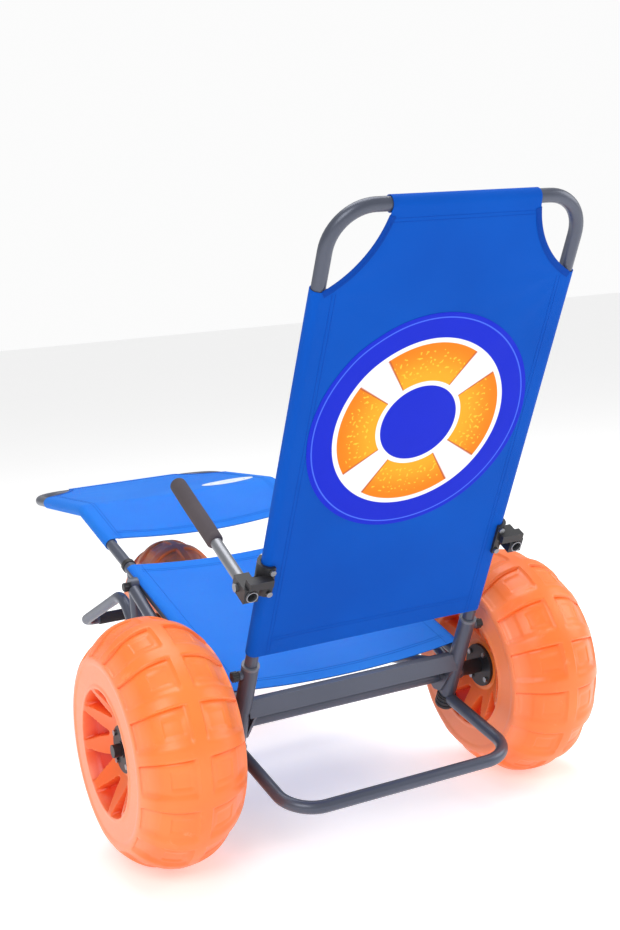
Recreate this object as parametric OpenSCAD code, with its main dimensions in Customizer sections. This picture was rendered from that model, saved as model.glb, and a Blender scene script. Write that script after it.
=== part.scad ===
// Three-wheel beach wheelchair: a reclined sling seat on a welded tube frame, with balloon wheels,
// a backrest that plugs into two sockets, a leg rest that plugs into the seat rails, folding armrests,
// foot bars beside the front wheel and a push bar behind.
// +Z is up, +Y is forward, +X is the sitter's right. The origin is on the floor, under the middle.

/* [Stance] */
// Distance from the rear axle to the front axle
wheelbase = 790; // [740:5:860]
// Distance between the middles of the rear wheels
rear_track = 714; // [700:2:780]

/* [Rear wheels] */
// Diameter of a rear wheel
rear_wheel_d = 420; // [400:5:520]
// Width of a rear wheel
rear_wheel_w = 187; // [150:1:194]
// How far the tread falls away at a rear wheel's shoulders
rear_shoulder = 50; // [30:1:55]
// Half-width between the hub seats of a rear wheel
rear_hub_half = 57; // [45:1:60]

/* [Front wheel] */
// Diameter of the front wheel
front_wheel_d = 400; // [330:5:420]
// Width of the front wheel
front_wheel_w = 144; // [110:1:160]
// How far the tread falls away at the front wheel's shoulders
front_shoulder = 42; // [25:1:50]
// Half-width between the hub seats of the front wheel
front_hub_half = 46; // [35:1:50]

/* [Wheel walls] */
// Curve of the tread from middle to shoulder
tread_power = 2.35; // [2:0.05:3]
// Radius of the dish in a wheel's side
dish_r = 105; // [90:1:115]
// Radius of the seat that a hub flange lies on
hub_seat_r = 48; // [44:1:55]
// Wall of the hollow wheel
wheel_wall = 5; // [3:0.5:7]
// Wall of the wheel under the hub flanges
hub_wall = 12; // [10:1:16]

/* [Hubs and axles] */
// Radius of a hub flange
hub_flange_r = 40; // [38:1:43]
// Thickness of a hub flange
hub_flange_t = 6; // [4:0.5:8]
// Radius of the sleeve between the flanges
hub_sleeve_r = 20; // [14:1:24]
// Radius of the rear axle
rear_axle_r = 8; // [6:0.5:9]
// Radius of the front axle
front_axle_r = 6; // [5:0.5:7]
// Radial clearance of a hub on its axle
axle_play = 0.05; // [0.02:0.01:0.09]

/* [Back frame] */
// Lean of the back from upright, in degrees
back_tilt = 29.8; // [22:0.1:34]
// Half-distance between the back's side tubes
back_x = 216.7; // [205:0.1:220]
// Radius of the back, leg-rest and push-bar tubes
tube_r = 11; // [9:0.5:11]
// Wall of the thin tubes
tube_wall = 1.8; // [1.2:0.1:2.5]
// Bend radius at the corners of the back and of the leg rest
corner_bend = 68; // [55:1:90]
// Height of the fabric's lower hem along the side tubes, from the axle's level
back_hem = 169; // [155:1:190]
// Length of the back from its lower hem to the middle of its top tube
back_len = 804.5; // [700:0.5:880]

/* [Sockets] */
// Outer radius of a socket tube
socket_r = 15; // [14.5:0.5:17]
// Wall of a socket tube
socket_wall = 2; // [1.5:0.1:2.5]
// How far a socket rises from the axle's level
socket_up = 137; // [120:1:145]
// How far a socket reaches below the axle's level
socket_down = 62; // [60:1:75]
// Gap between the rear axle and the sockets behind it
axle_gap = 0.4; // [0.2:0.1:2]

/* [Seat frame] */
// Slope of the seat rails, in degrees
seat_tilt = 18.8; // [12:0.1:24]
// Half-distance between the seat rails
rail_x = 222; // [218:0.1:226]
// Outer radius of a seat rail
rail_r = 12.5; // [12:0.5:13.5]
// Running clearance of the leg rest's tubes in the rails
slide_play = 0.08; // [0.04:0.01:0.1]
// Distance from the rear axle forward to the mouths of the rails
mouth_y = 440; // [400:1:470]
// Height of the mouths above the rear axle
mouth_rise = 214; // [195:1:230]

/* [Lower frame] */
// Depth of the rectangular cross bar
bar_depth = 25; // [20:1:30]
// Height of the rectangular cross bar
bar_height = 30; // [25:1:40]
// Height of the cross bar's middle above the rear axle
bar_rise = 34; // [32:1:50]
// Outer radius of the tube round the rear axle
beam_r = 13.5; // [11:0.5:14]
// Radius of the side struts and lower rails
strut_r = 11; // [9:0.5:11]
// Half-distance between the lower rails
lower_x = 184; // [170:1:185]
// Outer radius of the front posts and the fork legs
post_r = 12; // [11:0.5:12]
// Outer radius of the front cross tube
cross_r = 12.5; // [12.5:0.5:14]
// Distance from the rear axle to the front posts
post_y = 425; // [400:1:425]
// Depth of the front cross tube below the rear axle
cross_drop = 25; // [10:1:60]
// Half-distance between the fork legs
fork_x = 98; // [95:1:110]

/* [Foot bars] */
// Height above the rear axle where a foot arm leaves its post
foot_rise = 64.6; // [50:0.1:80]
// Angle at which a foot arm leaves its post
foot_launch = 48.7; // [40:0.1:55]
// Cosine of the angle that a foot arm turns by over its top
foot_cosine = 0.352; // [0.28, 0.352]
// Bend radius over the top of a foot arm
foot_bend = 55; // [40:1:60]
// Distance from the front posts to the corner over the top of a foot arm
foot_crown = 76; // [72:1:90]
// Distance from that corner to the foot bar
foot_reach = 300; // [220:1:320]
// Length of the straight part of a foot bar
foot_bar = 68; // [50:1:74]

/* [Push bar] */
// Height of the push bar's root below the rear axle
push_root = 42; // [40:1:44]
// Slope of the push bar down to the rear, in degrees
push_tilt = 15; // [8:1:22]
// Distance from the sockets back to the push bar's cross part
push_reach = 222; // [160:1:260]
// Bend radius of the push bar
push_bend = 60; // [45:1:80]

/* [Leg rest] */
// Length of leg-rest tube held in a rail
leg_insert = 190; // [160:1:220]
// Distance from the rail mouths to the near hem
leg_hem = 105; // [90:1:130]
// Distance from the rail mouths to the knee bend
leg_knee = 272; // [230:1:300]
// Distance from the knee bend to the front tube
leg_front = 378; // [300:1:420]
// Sine of the angle that the knee bends by, less than level to just past it
knee_sine = 0.352; // [0.28, 0.352]
// Bend radius at the knee
knee_bend = 70; // [50:1:100]

/* [Armrests] */
// Half-distance between the armrest tubes
arm_x = 253.6; // [253:0.1:258]
// Height of the armrest pivots along the back, from the axle's level
arm_pivot = 318; // [300:1:340]
// Radius of an armrest tube
arm_r = 10; // [8:0.5:10]
// Length of an armrest tube ahead of its pivot
arm_reach = 288; // [240:1:320]
// Length of tube behind the pivot
arm_tail = 30.5; // [28:0.5:34]
// Radius of a foam grip
grip_r = 14.7; // [12:0.1:15]
// Length of a foam grip
grip_len = 173; // [140:1:190]

/* [Fabric] */
// Thickness of the fabric
cloth_t = 2.2; // [1.5:0.1:2.5]
// Gap between the fabric and the tube in its sleeve
cloth_gap = 0.2; // [0.1:0.1:0.3]
// Radius of the curved cut-out at a corner
cutout_r = 174; // [160:1:185]
// Cut-out centre, outward from the side tube
cutout_out = 82; // [75:1:95]
// Cut-out centre, past the end tube
cutout_past = 27; // [20:1:40]
// Sag of the seat between its rails
seat_sag = 18; // [8:1:22]
// Radius of the round print on the back
print_r = 196; // [120:1:198]

/* [Hidden] */
$fn = 64;

// Paint, plastic and cloth colours
steel = "#666c75";
dark_plastic = "#1c1c1f";
foam = "#453f42";
orange = "#ff7a33";
zinc = "#b9bcc0";
cloth_dark = "#0057be";
cloth_light = "#2f86ef";
print_blue = "#1b3ad6";
patch_white = "#f2f2ef";

// Heights and places that follow from the sizes above
axle_z = rear_wheel_d / 2;
front_axle_z = front_wheel_d / 2;
back_foot_y = -(socket_r + rear_axle_r + axle_gap) / cos(back_tilt);
bar_y = back_foot_y - bar_rise * tan(back_tilt);
back_top = back_hem + back_len;
knee_turn = asin(knee_sine);
leg_drop = knee_turn - seat_tilt;
knee_tangent = knee_bend * tan(knee_turn / 2);
leg_end_y = mouth_y + leg_knee * cos(seat_tilt) + leg_front * cos(leg_drop);
cloth_in = tube_r + cloth_gap;
cloth_out = cloth_in + cloth_t;
rear_end_y = back_foot_y - back_top * sin(back_tilt) - cloth_out;
axle_y = -(leg_end_y + cloth_out + rear_end_y) / 2;
rail_len = ((mouth_y - back_foot_y) * cos(back_tilt) + mouth_rise * sin(back_tilt))
    / cos(back_tilt - seat_tilt);

// Locking knobs: where they stand and their sizes
knob_r = 7.5;
knob_lobe_r = 3;
knob_len = 12;
stud_r = 4;
stud_play = 0.06;
stud_touch = 0.15;
back_knob_down = 15;
leg_knob_back = 72;
boss_len = 4.5;
knob_gap = 1;

// Struts and their eyes
strut_x = rail_x + rail_r + strut_r;
strut_wall = 2;
eye_r = 16;
eye_half = 5;
knob_eye_y = mouth_y - leg_knob_back * cos(seat_tilt);
knob_eye_rise = mouth_rise - leg_knob_back * sin(seat_tilt);

// Gussets, bolts and plugs
gusset_t = 5;
gusset_front = 24;
gusset_foot = 27;
bolt_r = 3;
bolt_play = 0.1;
bolt_head_r = 5;
bolt_head_t = 4;
stop_bolt_s = 6;
glide_gap = 0.3;
glide_len = 16;
tube_foot = stop_bolt_s + bolt_r + glide_gap;
cap_t = 3;
collar_gap = 0.3;
bush_len = 42;
bush_flange = 5;

// Armrest bracket
clamp_in = cloth_out + 0.5;
clamp_r = clamp_in + 5.6;
clamp_low = arm_pivot - 15;
clamp_high = arm_pivot + 42;
clamp_bolt_in = 7;
clamp_bolt_x = 2;
knuckle_half = 13;
knuckle_front = 16;
knuckle_back = 27;
knuckle_x = arm_x + 0.4;
hook_gap = 0.3;
hook_t = 14;
hook_rear = 31;
hook_front = 14.5;
pivot_r = 4;
pivot_boss_r = 12;

// Helpers ---------------------------------------------------------------------------------------

// Moves the frame's own coordinates, measured from the rear axle, into the part's frame
module placed() {
    translate([0, axle_y, 0]) children();
}

// Mirrors a right-hand piece to the side asked for
module on_side(side) {
    if (side > 0) children();
    else mirror([1, 0, 0]) children();
}

// Coordinates of the backrest: z runs up the side tubes from the axle's level, y points forward
module in_back() {
    placed() translate([0, back_foot_y, axle_z]) rotate([back_tilt, 0, 0]) children();
}

// Coordinates of the seat: y runs forward along the rails from their mouths, z stands off them
module in_rail() {
    placed() translate([0, mouth_y, axle_z + mouth_rise]) rotate([seat_tilt, 0, 0]) children();
}

module x_rod(x0, x1, r) {
    translate([x0, 0, 0]) rotate([0, 90, 0]) cylinder(h = x1 - x0, r = r);
}

module y_rod(y0, y1, r) {
    translate([0, y0, 0]) rotate([-90, 0, 0]) cylinder(h = y1 - y0, r = r);
}

// A round bar from point p to point q
module bar_between(p, q, r) {
    d = q - p;
    translate(p) rotate([0, acos(d.z / norm(d)), atan2(d.y, d.x)]) cylinder(h = norm(d), r = r);
}

// Angle by which a bend is made too long before it is trimmed
bend_spare = 3;

// Section of the thin tubes
module tube_section() {
    difference() {
        circle(tube_r);
        circle(tube_r - tube_wall);
    }
}

// A straight of a bent tube: heads along +Z, and puts its children at its end
module straight(l) {
    linear_extrude(l) tube_section();
    translate([0, 0, l]) children();
}

// Turns its children round a bend towards +X
module after_bend(bend_r, angle) {
    translate([bend_r, 0, 0]) rotate([0, angle, 0]) translate([-bend_r, 0, 0]) children();
}

// A bend towards +X of a bent tube, trimmed square to the piece that follows: puts its children at its end
module bend(bend_r, angle) {
    room = tube_r + 1;
    difference() {
        translate([bend_r, 0, 0]) mirror([1, 0, 0]) rotate([90, 0, 0])
            rotate_extrude(angle = angle + bend_spare) translate([bend_r, 0]) tube_section();
        after_bend(bend_r, angle) translate([-room, -room, 0]) cube(2 * room);
    }
    after_bend(bend_r, angle) children();
}

// A U-shaped tube in the XZ plane, open at z = 0, with its sides at x = -half and x = half
module u_tube(half, len, bend_r) {
    translate([-half, 0, 0])
        straight(len - bend_r)
        bend(bend_r, 90)
        straight(2 * (half - bend_r))
        bend(bend_r, 90)
        straight(len - bend_r);
}

// A bolt along +X from the origin: head, shank and nut
module x_bolt(len, r, head_r, head_t) {
    x_rod(-head_t, 0, head_r);
    x_rod(0, len, r);
    x_rod(len, len + head_t, head_r);
}

// Frame -----------------------------------------------------------------------------------------

// The outline of the right-hand socket at the radius r
module socket_hull(r) {
    in_back() translate([back_x, 0, -socket_down]) cylinder(h = socket_down + socket_up, r = r);
}

module seat_rail(side) {
    color(steel) on_side(side) difference() {
        in_rail() translate([rail_x, 0, 0]) y_rod(-rail_len, 0, rail_r);
        in_rail() translate([rail_x, 0, 0]) y_rod(-rail_len - 1, 1, tube_r + slide_play);
        socket_hull(socket_r);
        in_rail() translate([0, -leg_knob_back, 0])
            x_rod(rail_x, rail_x + rail_r + 1, stud_r + stud_play);
    }
}

module socket(side) {
    color(steel) on_side(side) difference() {
        union() {
            socket_hull(socket_r);
            in_back() translate([0, 0, socket_up - back_knob_down])
                x_rod(back_x + socket_r - 1, back_x + socket_r + boss_len, stud_r * 2);
        }
        in_back() translate([back_x, 0, -socket_down - 1])
            cylinder(h = socket_down + socket_up + 2, r = socket_r - socket_wall);
        in_back() translate([0, 0, socket_up - back_knob_down])
            x_rod(back_x, back_x + socket_r + boss_len + 1, stud_r + stud_play);
        in_back() translate([0, 0, stop_bolt_s])
            x_rod(back_x - socket_r - 1, back_x + socket_r + 1, bolt_r + bolt_play);
    }
}

module socket_bushes() {
    color(zinc) for (side = [-1, 1]) on_side(side) in_back() difference() {
        translate([back_x, 0, 0]) union() {
            translate([0, 0, socket_up - bush_len])
                cylinder(h = bush_len, r = socket_r - socket_wall - axle_play);
            translate([0, 0, socket_up]) cylinder(h = bush_flange, r = socket_r + 0.5);
        }
        translate([back_x, 0, socket_up - bush_len - 1])
            cylinder(h = bush_len + bush_flange + 2, r = tube_r + slide_play);
        translate([0, 0, socket_up - back_knob_down])
            x_rod(back_x, back_x + socket_r, stud_r + stud_play);
    }
}

module cross_bar_block(depth, height) {
    half = rail_x - rail_r - 0.8;
    placed() translate([-half, bar_y - depth / 2, axle_z + bar_rise - height / 2])
        cube([2 * half, depth, height]);
}

module cross_bar() {
    color(steel) difference() {
        cross_bar_block(bar_depth, bar_height);
        cross_bar_block(bar_depth - 2 * socket_wall, bar_height - 2 * socket_wall);
        for (side = [-1, 1]) on_side(side) socket_hull(socket_r);
    }
}

module axle_beam() {
    color(steel) placed() translate([0, 0, axle_z]) difference() {
        x_rod(-back_x + socket_r + gusset_t, back_x - socket_r - gusset_t, beam_r);
        x_rod(-back_x, back_x, beam_r - 3);
    }
}

module gusset_plates() {
    top = bar_rise - bar_height / 2;
    color(steel) for (side = [-1, 1]) on_side(side) placed() translate([0, 0, axle_z]) difference() {
        translate([back_x - socket_r - gusset_t, 0, 0]) rotate([90, 0, 90])
            linear_extrude(gusset_t) polygon([
                [bar_y - bar_depth / 2, top],
                [gusset_front, top],
                [gusset_front, -beam_r],
                [gusset_front / 3, -gusset_foot],
                [back_foot_y / 2, -gusset_foot]
            ]);
        x_rod(back_x - socket_r - gusset_t - 1, back_x, rear_axle_r + axle_play);
        translate([0, back_foot_y - stop_bolt_s * sin(back_tilt), stop_bolt_s * cos(back_tilt)])
            x_rod(back_x - socket_r - gusset_t - 1, back_x, bolt_r + bolt_play);
    }
}

module side_strut(side) {
    rear_eye = [strut_x, 0, 0];
    front_eye = [strut_x, knob_eye_y, knob_eye_rise];
    short = (front_eye - rear_eye) / norm(front_eye - rear_eye) * (beam_r + 0.5);
    color(steel) on_side(side) difference() {
        union() {
            placed() translate([0, 0, axle_z])
                bar_between(rear_eye + short, front_eye - short, strut_r);
            placed() translate([0, 0, axle_z]) x_rod(strut_x - eye_half, strut_x + eye_half, eye_r);
            placed() translate([0, knob_eye_y, axle_z + knob_eye_rise])
                x_rod(rail_x + rail_r, strut_x + eye_half, eye_r);
        }
        placed() translate([0, 0, axle_z])
            x_rod(strut_x - eye_r, strut_x + eye_r, rear_axle_r + axle_play);
        placed() translate([0, knob_eye_y, axle_z + knob_eye_rise])
            x_rod(rail_x, strut_x + eye_r, stud_r + stud_play);
    }
}

module front_posts() {
    foot = axle_z - cross_drop - cross_r - 2;
    top = axle_z + mouth_rise - (mouth_y - post_y + post_r) * tan(seat_tilt);
    color(steel) for (side = [-1, 1]) on_side(side) difference() {
        placed() translate([rail_x, post_y, foot]) cylinder(h = top - foot, r = post_r);
        placed() translate([rail_x, post_y, foot - 1]) cylinder(h = top, r = post_r - 2);
        in_rail() translate([rail_x, 0, 0]) y_rod(-rail_len, 2 * post_r, rail_r);
    }
}

module cross_tube_core(r) {
    placed() translate([0, post_y, axle_z - cross_drop]) x_rod(-rail_x, rail_x, r);
}

module front_cross_tube() {
    color(steel) difference() {
        cross_tube_core(cross_r);
        cross_tube_core(cross_r - 2);
        for (side = [-1, 1]) placed() translate([side * rail_x, post_y, 0])
            cylinder(h = axle_z, r = post_r);
    }
}

module lower_rails() {
    root = [lower_x, bar_y, bar_rise];
    tip = [lower_x, post_y, -cross_drop];
    color(steel) for (side = [-1, 1]) on_side(side) difference() {
        placed() translate([0, 0, axle_z]) bar_between(root, tip, strut_r);
        placed() translate([0, 0, axle_z]) bar_between(root, tip, strut_r - strut_wall);
        cross_bar_block(bar_depth, bar_height);
        cross_tube_core(cross_r);
    }
}

module fork_legs() {
    root = [fork_x, post_y, axle_z - cross_drop];
    tip = [fork_x, wheelbase, front_axle_z];
    past = tip + (tip - root) / norm(tip - root) * eye_r;
    color(steel) for (side = [-1, 1]) on_side(side) difference() {
        placed() bar_between(root, past, post_r);
        placed() bar_between(root, past + (tip - root), post_r - 3);
        cross_tube_core(cross_r);
        placed() translate(tip) x_rod(-2 * post_r, 2 * post_r, front_axle_r + axle_play);
    }
}

foot_corner = 35;
crown_turn = acos(foot_cosine);
foot_fall = crown_turn - foot_launch;

// The goose-neck of a foot arm, and then its inward bar
module foot_arm(side) {
    tangent = foot_bend * tan(crown_turn / 2);
    color(steel) on_side(side) difference() {
        placed() translate([rail_x, post_y, axle_z + foot_rise])
            rotate([foot_launch - 90, 0, 0]) rotate([0, 0, 90])
            straight(foot_crown / cos(foot_launch) - tangent)
            bend(foot_bend, crown_turn)
            straight(foot_reach - tangent - foot_corner)
            rotate([0, 0, 90]) bend(foot_corner, 90)
            straight(foot_bar);
        placed() translate([rail_x, post_y, 0]) cylinder(h = 2 * axle_z, r = post_r);
    }
}

// Puts its children at the start of a right-hand foot bar's straight part, heading inward
module at_foot_bar() {
    reach = foot_crown / cos(foot_launch);
    placed() translate([rail_x - foot_corner, post_y, axle_z + foot_rise])
        translate([0, reach * cos(foot_launch), reach * sin(foot_launch)])
        translate([0, foot_reach * cos(foot_fall), -foot_reach * sin(foot_fall)])
        rotate([0, -90, 0]) children();
}

module foot_grips() {
    color(dark_plastic) for (side = [-1, 1]) on_side(side) at_foot_bar() difference() {
        translate([0, 0, 1]) cylinder(h = foot_bar - 1, r = tube_r + 1.6);
        cylinder(h = foot_bar + 1, r = tube_r + axle_play);
    }
}

// A push-in plug: cap on +Z, stem into the tube on -Z
module tube_plug(r_out, r_in) {
    cylinder(h = cap_t, r = r_out);
    translate([0, 0, -12]) cylinder(h = 12, r = r_in - axle_play);
}

module tube_plugs() {
    foot = axle_z - cross_drop - cross_r - 2;
    fall = atan2(front_axle_z - axle_z + cross_drop, wheelbase - post_y);
    color(dark_plastic) for (side = [-1, 1]) on_side(side) {
        at_foot_bar() translate([0, 0, foot_bar]) tube_plug(tube_r + 1.6, tube_r - tube_wall);
        placed() translate([rail_x, post_y, foot]) rotate([180, 0, 0]) tube_plug(post_r, post_r - 2);
        placed() translate([fork_x, wheelbase, front_axle_z]) rotate([fall - 90, 0, 0])
            translate([0, 0, eye_r]) difference() {
                tube_plug(post_r, post_r - 3);
                translate([0, 0, -eye_r]) x_rod(-post_r, post_r, front_axle_r + 1);
            }
    }
}

// The push bar leaves the feet of the sockets and slopes down to the rear
module in_push_bar() {
    root_y = back_foot_y + push_root * tan(back_tilt);
    placed() translate([0, root_y, axle_z - push_root]) rotate([90 + push_tilt, 0, 0]) children();
}

module push_bar() {
    color(steel) difference() {
        in_push_bar() u_tube(back_x, push_reach, push_bend);
        for (side = [-1, 1]) on_side(side) socket_hull(socket_r);
    }
}

module foot_caps() {
    rib_pitch = 8;
    cap_floor = 6;
    color(dark_plastic) for (side = [-1, 1]) on_side(side) difference() {
        in_back() translate([back_x, 0, -socket_down - cap_floor]) {
            cylinder(h = 26, r = socket_r + 2.2);
            for (i = [0:2]) translate([0, 0, 3 + i * rib_pitch]) cylinder(h = 3.5, r = socket_r + 3.6);
        }
        in_back() translate([back_x, 0, -socket_down]) cylinder(h = 40, r = socket_r + axle_play);
        in_push_bar() translate([back_x, 0, 0]) cylinder(h = 60, r = tube_r + 0.3);
    }
}

module stop_bolts() {
    inner = back_x - socket_r - gusset_t;
    color(zinc) for (side = [-1, 1]) on_side(side) in_back() translate([inner, 0, stop_bolt_s])
        x_bolt(2 * socket_r + gusset_t, bolt_r, bolt_head_r, bolt_head_t);
}

// Axles -----------------------------------------------------------------------------------------

hub_out = rear_track / 2 + rear_hub_half + hub_flange_t;

module rear_axle() {
    color(zinc) placed() translate([0, 0, axle_z]) x_rod(-hub_out - 14, hub_out + 14, rear_axle_r);
}

module axle_collars() {
    inner = strut_x + eye_half;
    outer = rear_track / 2 - rear_hub_half - hub_flange_t - 2 * collar_gap;
    color(dark_plastic) for (side = [-1, 1]) on_side(side) placed() translate([0, 0, axle_z])
        difference() {
            x_rod(inner, outer, beam_r);
            x_rod(inner - 1, outer + 1, rear_axle_r + axle_play);
        }
}

module axle_caps() {
    face = hub_out + collar_gap;
    color(dark_plastic) for (side = [-1, 1]) on_side(side) placed() translate([0, 0, axle_z])
        difference() {
            union() {
                x_rod(face, face + 2, rear_axle_r + 6);
                x_rod(face + 2, face + 16, rear_axle_r + 3);
            }
            x_rod(face - 1, hub_out + 14 + axle_play, rear_axle_r + axle_play);
        }
}

fork_out = fork_x + post_r;

module front_axle() {
    color(zinc) placed() translate([0, wheelbase, front_axle_z])
        x_rod(-fork_out - 12, fork_out + 12, front_axle_r);
}

module front_spacers() {
    inner = front_hub_half + hub_flange_t + collar_gap;
    color(zinc) for (side = [-1, 1]) on_side(side) placed() translate([0, wheelbase, front_axle_z])
        difference() {
            x_rod(inner, fork_x - post_r + 2, front_axle_r + 4);
            x_rod(inner - 1, fork_x, front_axle_r + axle_play);
            x_rod(fork_x - post_r, fork_x + 1, front_axle_r + 5);
        }
}

module front_nuts() {
    color(zinc) for (side = [-1, 1]) on_side(side) placed() translate([0, wheelbase, front_axle_z])
        difference() {
            x_rod(fork_out, fork_out + 14, front_axle_r + 4);
            x_rod(fork_out - 1, fork_out + 12 + axle_play, front_axle_r + axle_play);
        }
}

// Wheels ----------------------------------------------------------------------------------------

// Radius of the tread at the share u of the half-width
function tread(radius, shoulder, u) = radius - shoulder * pow(abs(u), tread_power);

tread_steps = 14;

function tread_points(radius, half, shoulder) = [
    for (i = [-tread_steps:tread_steps]) let (u = i / tread_steps)
        [tread(radius, shoulder, u), u * half]
];

// The side of a wheel from the shoulder in to the hub, on the side that sign names
function side_points(half, hub_half, sign) = [
    [dish_r, sign * half],
    [hub_seat_r, sign * hub_half],
    [hub_sleeve_r + axle_play, sign * hub_half]
];

function reversed(list) = [for (i = [len(list) - 1:-1:0]) list[i]];

module wheel_profile(radius, half, shoulder, hub_half) {
    polygon(concat(
        tread_points(radius, half, shoulder),
        side_points(half, hub_half, 1),
        reversed(side_points(half, hub_half, -1))
    ));
}

// The hollow inside the wall of a wheel
module hollow_profile(radius, half, shoulder, hub_half) {
    in_half = half - wheel_wall;
    in_hub = hub_half - hub_wall;
    polygon(concat(
        tread_points(radius - wheel_wall, in_half, shoulder),
        [[dish_r + wheel_wall, in_half], [hub_seat_r + wheel_wall, in_hub],
         [hub_sleeve_r + wheel_wall, in_hub]],
        [[hub_sleeve_r + wheel_wall, -in_hub], [hub_seat_r + wheel_wall, -in_hub],
         [dish_r + wheel_wall, -in_half]]
    ));
}

screw_ring = 33;
screw_count = 4;

module at_screws() {
    for (i = [0:screw_count - 1]) rotate([45 + i * 360 / screw_count, 0, 0])
        translate([0, 0, screw_ring]) children();
}

module wheel(diameter, width, shoulder, hub_half) {
    color(orange) difference() {
        rotate([0, 90, 0]) rotate_extrude($fn = 96) difference() {
            wheel_profile(diameter / 2, width / 2, shoulder, hub_half);
            hollow_profile(diameter / 2, width / 2, shoulder, hub_half);
        }
        for (side = [-1, 1]) on_side(side) at_screws() x_rod(hub_half - 8, hub_half + 1, bolt_r + bolt_play);
    }
}

// Sleeve with its inner flange, and the outer flange as a second piece
module hub(hub_half, axle_r) {
    color(dark_plastic) difference() {
        union() {
            x_rod(-hub_half - hub_flange_t, -hub_half, hub_flange_r);
            x_rod(-hub_half, hub_half, hub_sleeve_r);
        }
        x_rod(-2 * hub_half, 2 * hub_half, axle_r + axle_play);
        at_screws() x_rod(-hub_half - hub_flange_t - 1, -hub_half + 1, bolt_r + bolt_play);
    }
    color(dark_plastic) difference() {
        x_rod(hub_half, hub_half + hub_flange_t, hub_flange_r);
        x_rod(0, 2 * hub_half, axle_r + axle_play);
        at_screws() x_rod(hub_half - 1, hub_half + hub_flange_t + 1, bolt_r + bolt_play);
    }
}

module hub_screws(hub_half) {
    face = hub_half + hub_flange_t;
    color(zinc) for (side = [-1, 1]) on_side(side) at_screws() {
        x_rod(face, face + bolt_head_t, bolt_head_r);
        x_rod(hub_half - 7, face, bolt_r);
    }
}

module at_rear_wheel(side) {
    placed() translate([side * rear_track / 2, 0, axle_z]) on_side(side) children();
}

module at_front_wheel() {
    placed() translate([0, wheelbase, front_axle_z]) children();
}

// Seat ------------------------------------------------------------------------------------------

seat_rear = (bar_y + bar_depth / 2 + 1.5 - mouth_y) / cos(seat_tilt);
seat_front = -16;
wrap_low = 40;
wrap_steps = 6;

// Outline of the seat's cloth across the chair at the height r over the rails' middles
function seat_line(r) = [
    for (i = [-12:12]) let (u = i / 12) [u * rail_x, r - seat_sag * (1 - u * u)]
];

function wrap_line(r) = [
    for (i = [1:wrap_steps]) let (a = 90 - i * (90 - wrap_low) / wrap_steps)
        [rail_x + r * cos(a), r * sin(a)]
];

function mirrored(list) = [for (p = list) [-p.x, p.y]];

module seat_fabric() {
    low = rail_r + 0.3;
    high = low + cloth_t;
    color(cloth_light) in_rail() translate([0, seat_front, 0]) rotate([90, 0, 0])
        linear_extrude(seat_front - seat_rear) polygon(concat(
            reversed(mirrored(wrap_line(high))), seat_line(high), wrap_line(high),
            reversed(wrap_line(low)), reversed(seat_line(low)), mirrored(wrap_line(low))
        ));
}

// Backrest --------------------------------------------------------------------------------------

module clamp_bolt_holes(r) {
    for (s = [clamp_low + clamp_bolt_in, clamp_high - clamp_bolt_in])
        translate([back_x + clamp_bolt_x, 0, s]) y_rod(-2 * clamp_r, 2 * clamp_r, r);
}

module back_tube() {
    foot = tube_foot + cap_t;
    color(steel) in_back() difference() {
        translate([0, 0, foot]) u_tube(back_x, back_top - foot, corner_bend);
        for (side = [-1, 1]) on_side(side) clamp_bolt_holes(bolt_r + bolt_play);
    }
}

module back_glides() {
    color(dark_plastic) for (side = [-1, 1]) in_back() translate([side * back_x, 0, tube_foot]) {
        cylinder(h = cap_t, r = socket_r - socket_wall - slide_play);
        translate([0, 0, cap_t]) cylinder(h = glide_len, r = tube_r - tube_wall - axle_play);
    }
}

// How far a panel lies below the top of its sleeves, so that it runs into them
panel_sink = 0.5;
panel_low = cloth_in - panel_sink;
panel_high = panel_low + cloth_t;

// Flat outline of a panel: half-width, length up to the end tube, and its two corner cut-outs
module panel_outline(half, len) {
    difference() {
        translate([-half, 0]) square([2 * half, len]);
        for (side = [-1, 1]) translate([side * (half + cutout_out), len + cutout_past]) circle(cutout_r);
    }
}

// Where a sleeve ends: on the side tube, and on the end tube from the middle
sleeve_end = sqrt(pow(cutout_r, 2) - pow(cutout_out, 2)) - cutout_past;
sleeve_half = cutout_out - sqrt(pow(cutout_r, 2) - pow(cutout_past, 2));

module back_fabric() {
    color(cloth_dark) in_back() difference() {
        translate([0, 0, back_hem]) union() {
            translate([0, -panel_low, 0]) rotate([90, 0, 0]) linear_extrude(cloth_t)
                panel_outline(back_x, back_len);
            for (side = [-1, 1]) translate([side * back_x, 0, 0])
                cylinder(h = back_len - sleeve_end, r = cloth_out);
            translate([0, 0, back_len]) x_rod(-back_x - sleeve_half, back_x + sleeve_half, cloth_out);
        }
        for (side = [-1, 1]) translate([side * back_x, 0, back_hem - 1])
            cylinder(h = back_len - sleeve_end + 2, r = cloth_in);
        translate([0, 0, back_top]) x_rod(-back_x, back_x, cloth_in);
        for (side = [-1, 1]) on_side(side) clamp_bolt_holes(bolt_r + bolt_play);
    }
}

print_rise = 430;
print_t = 0.8;

module back_print() {
    color(print_blue) in_back() translate([0, -panel_high, back_hem + print_rise]) rotate([90, 0, 0])
        cylinder(h = print_t, r = print_r);
}

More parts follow.
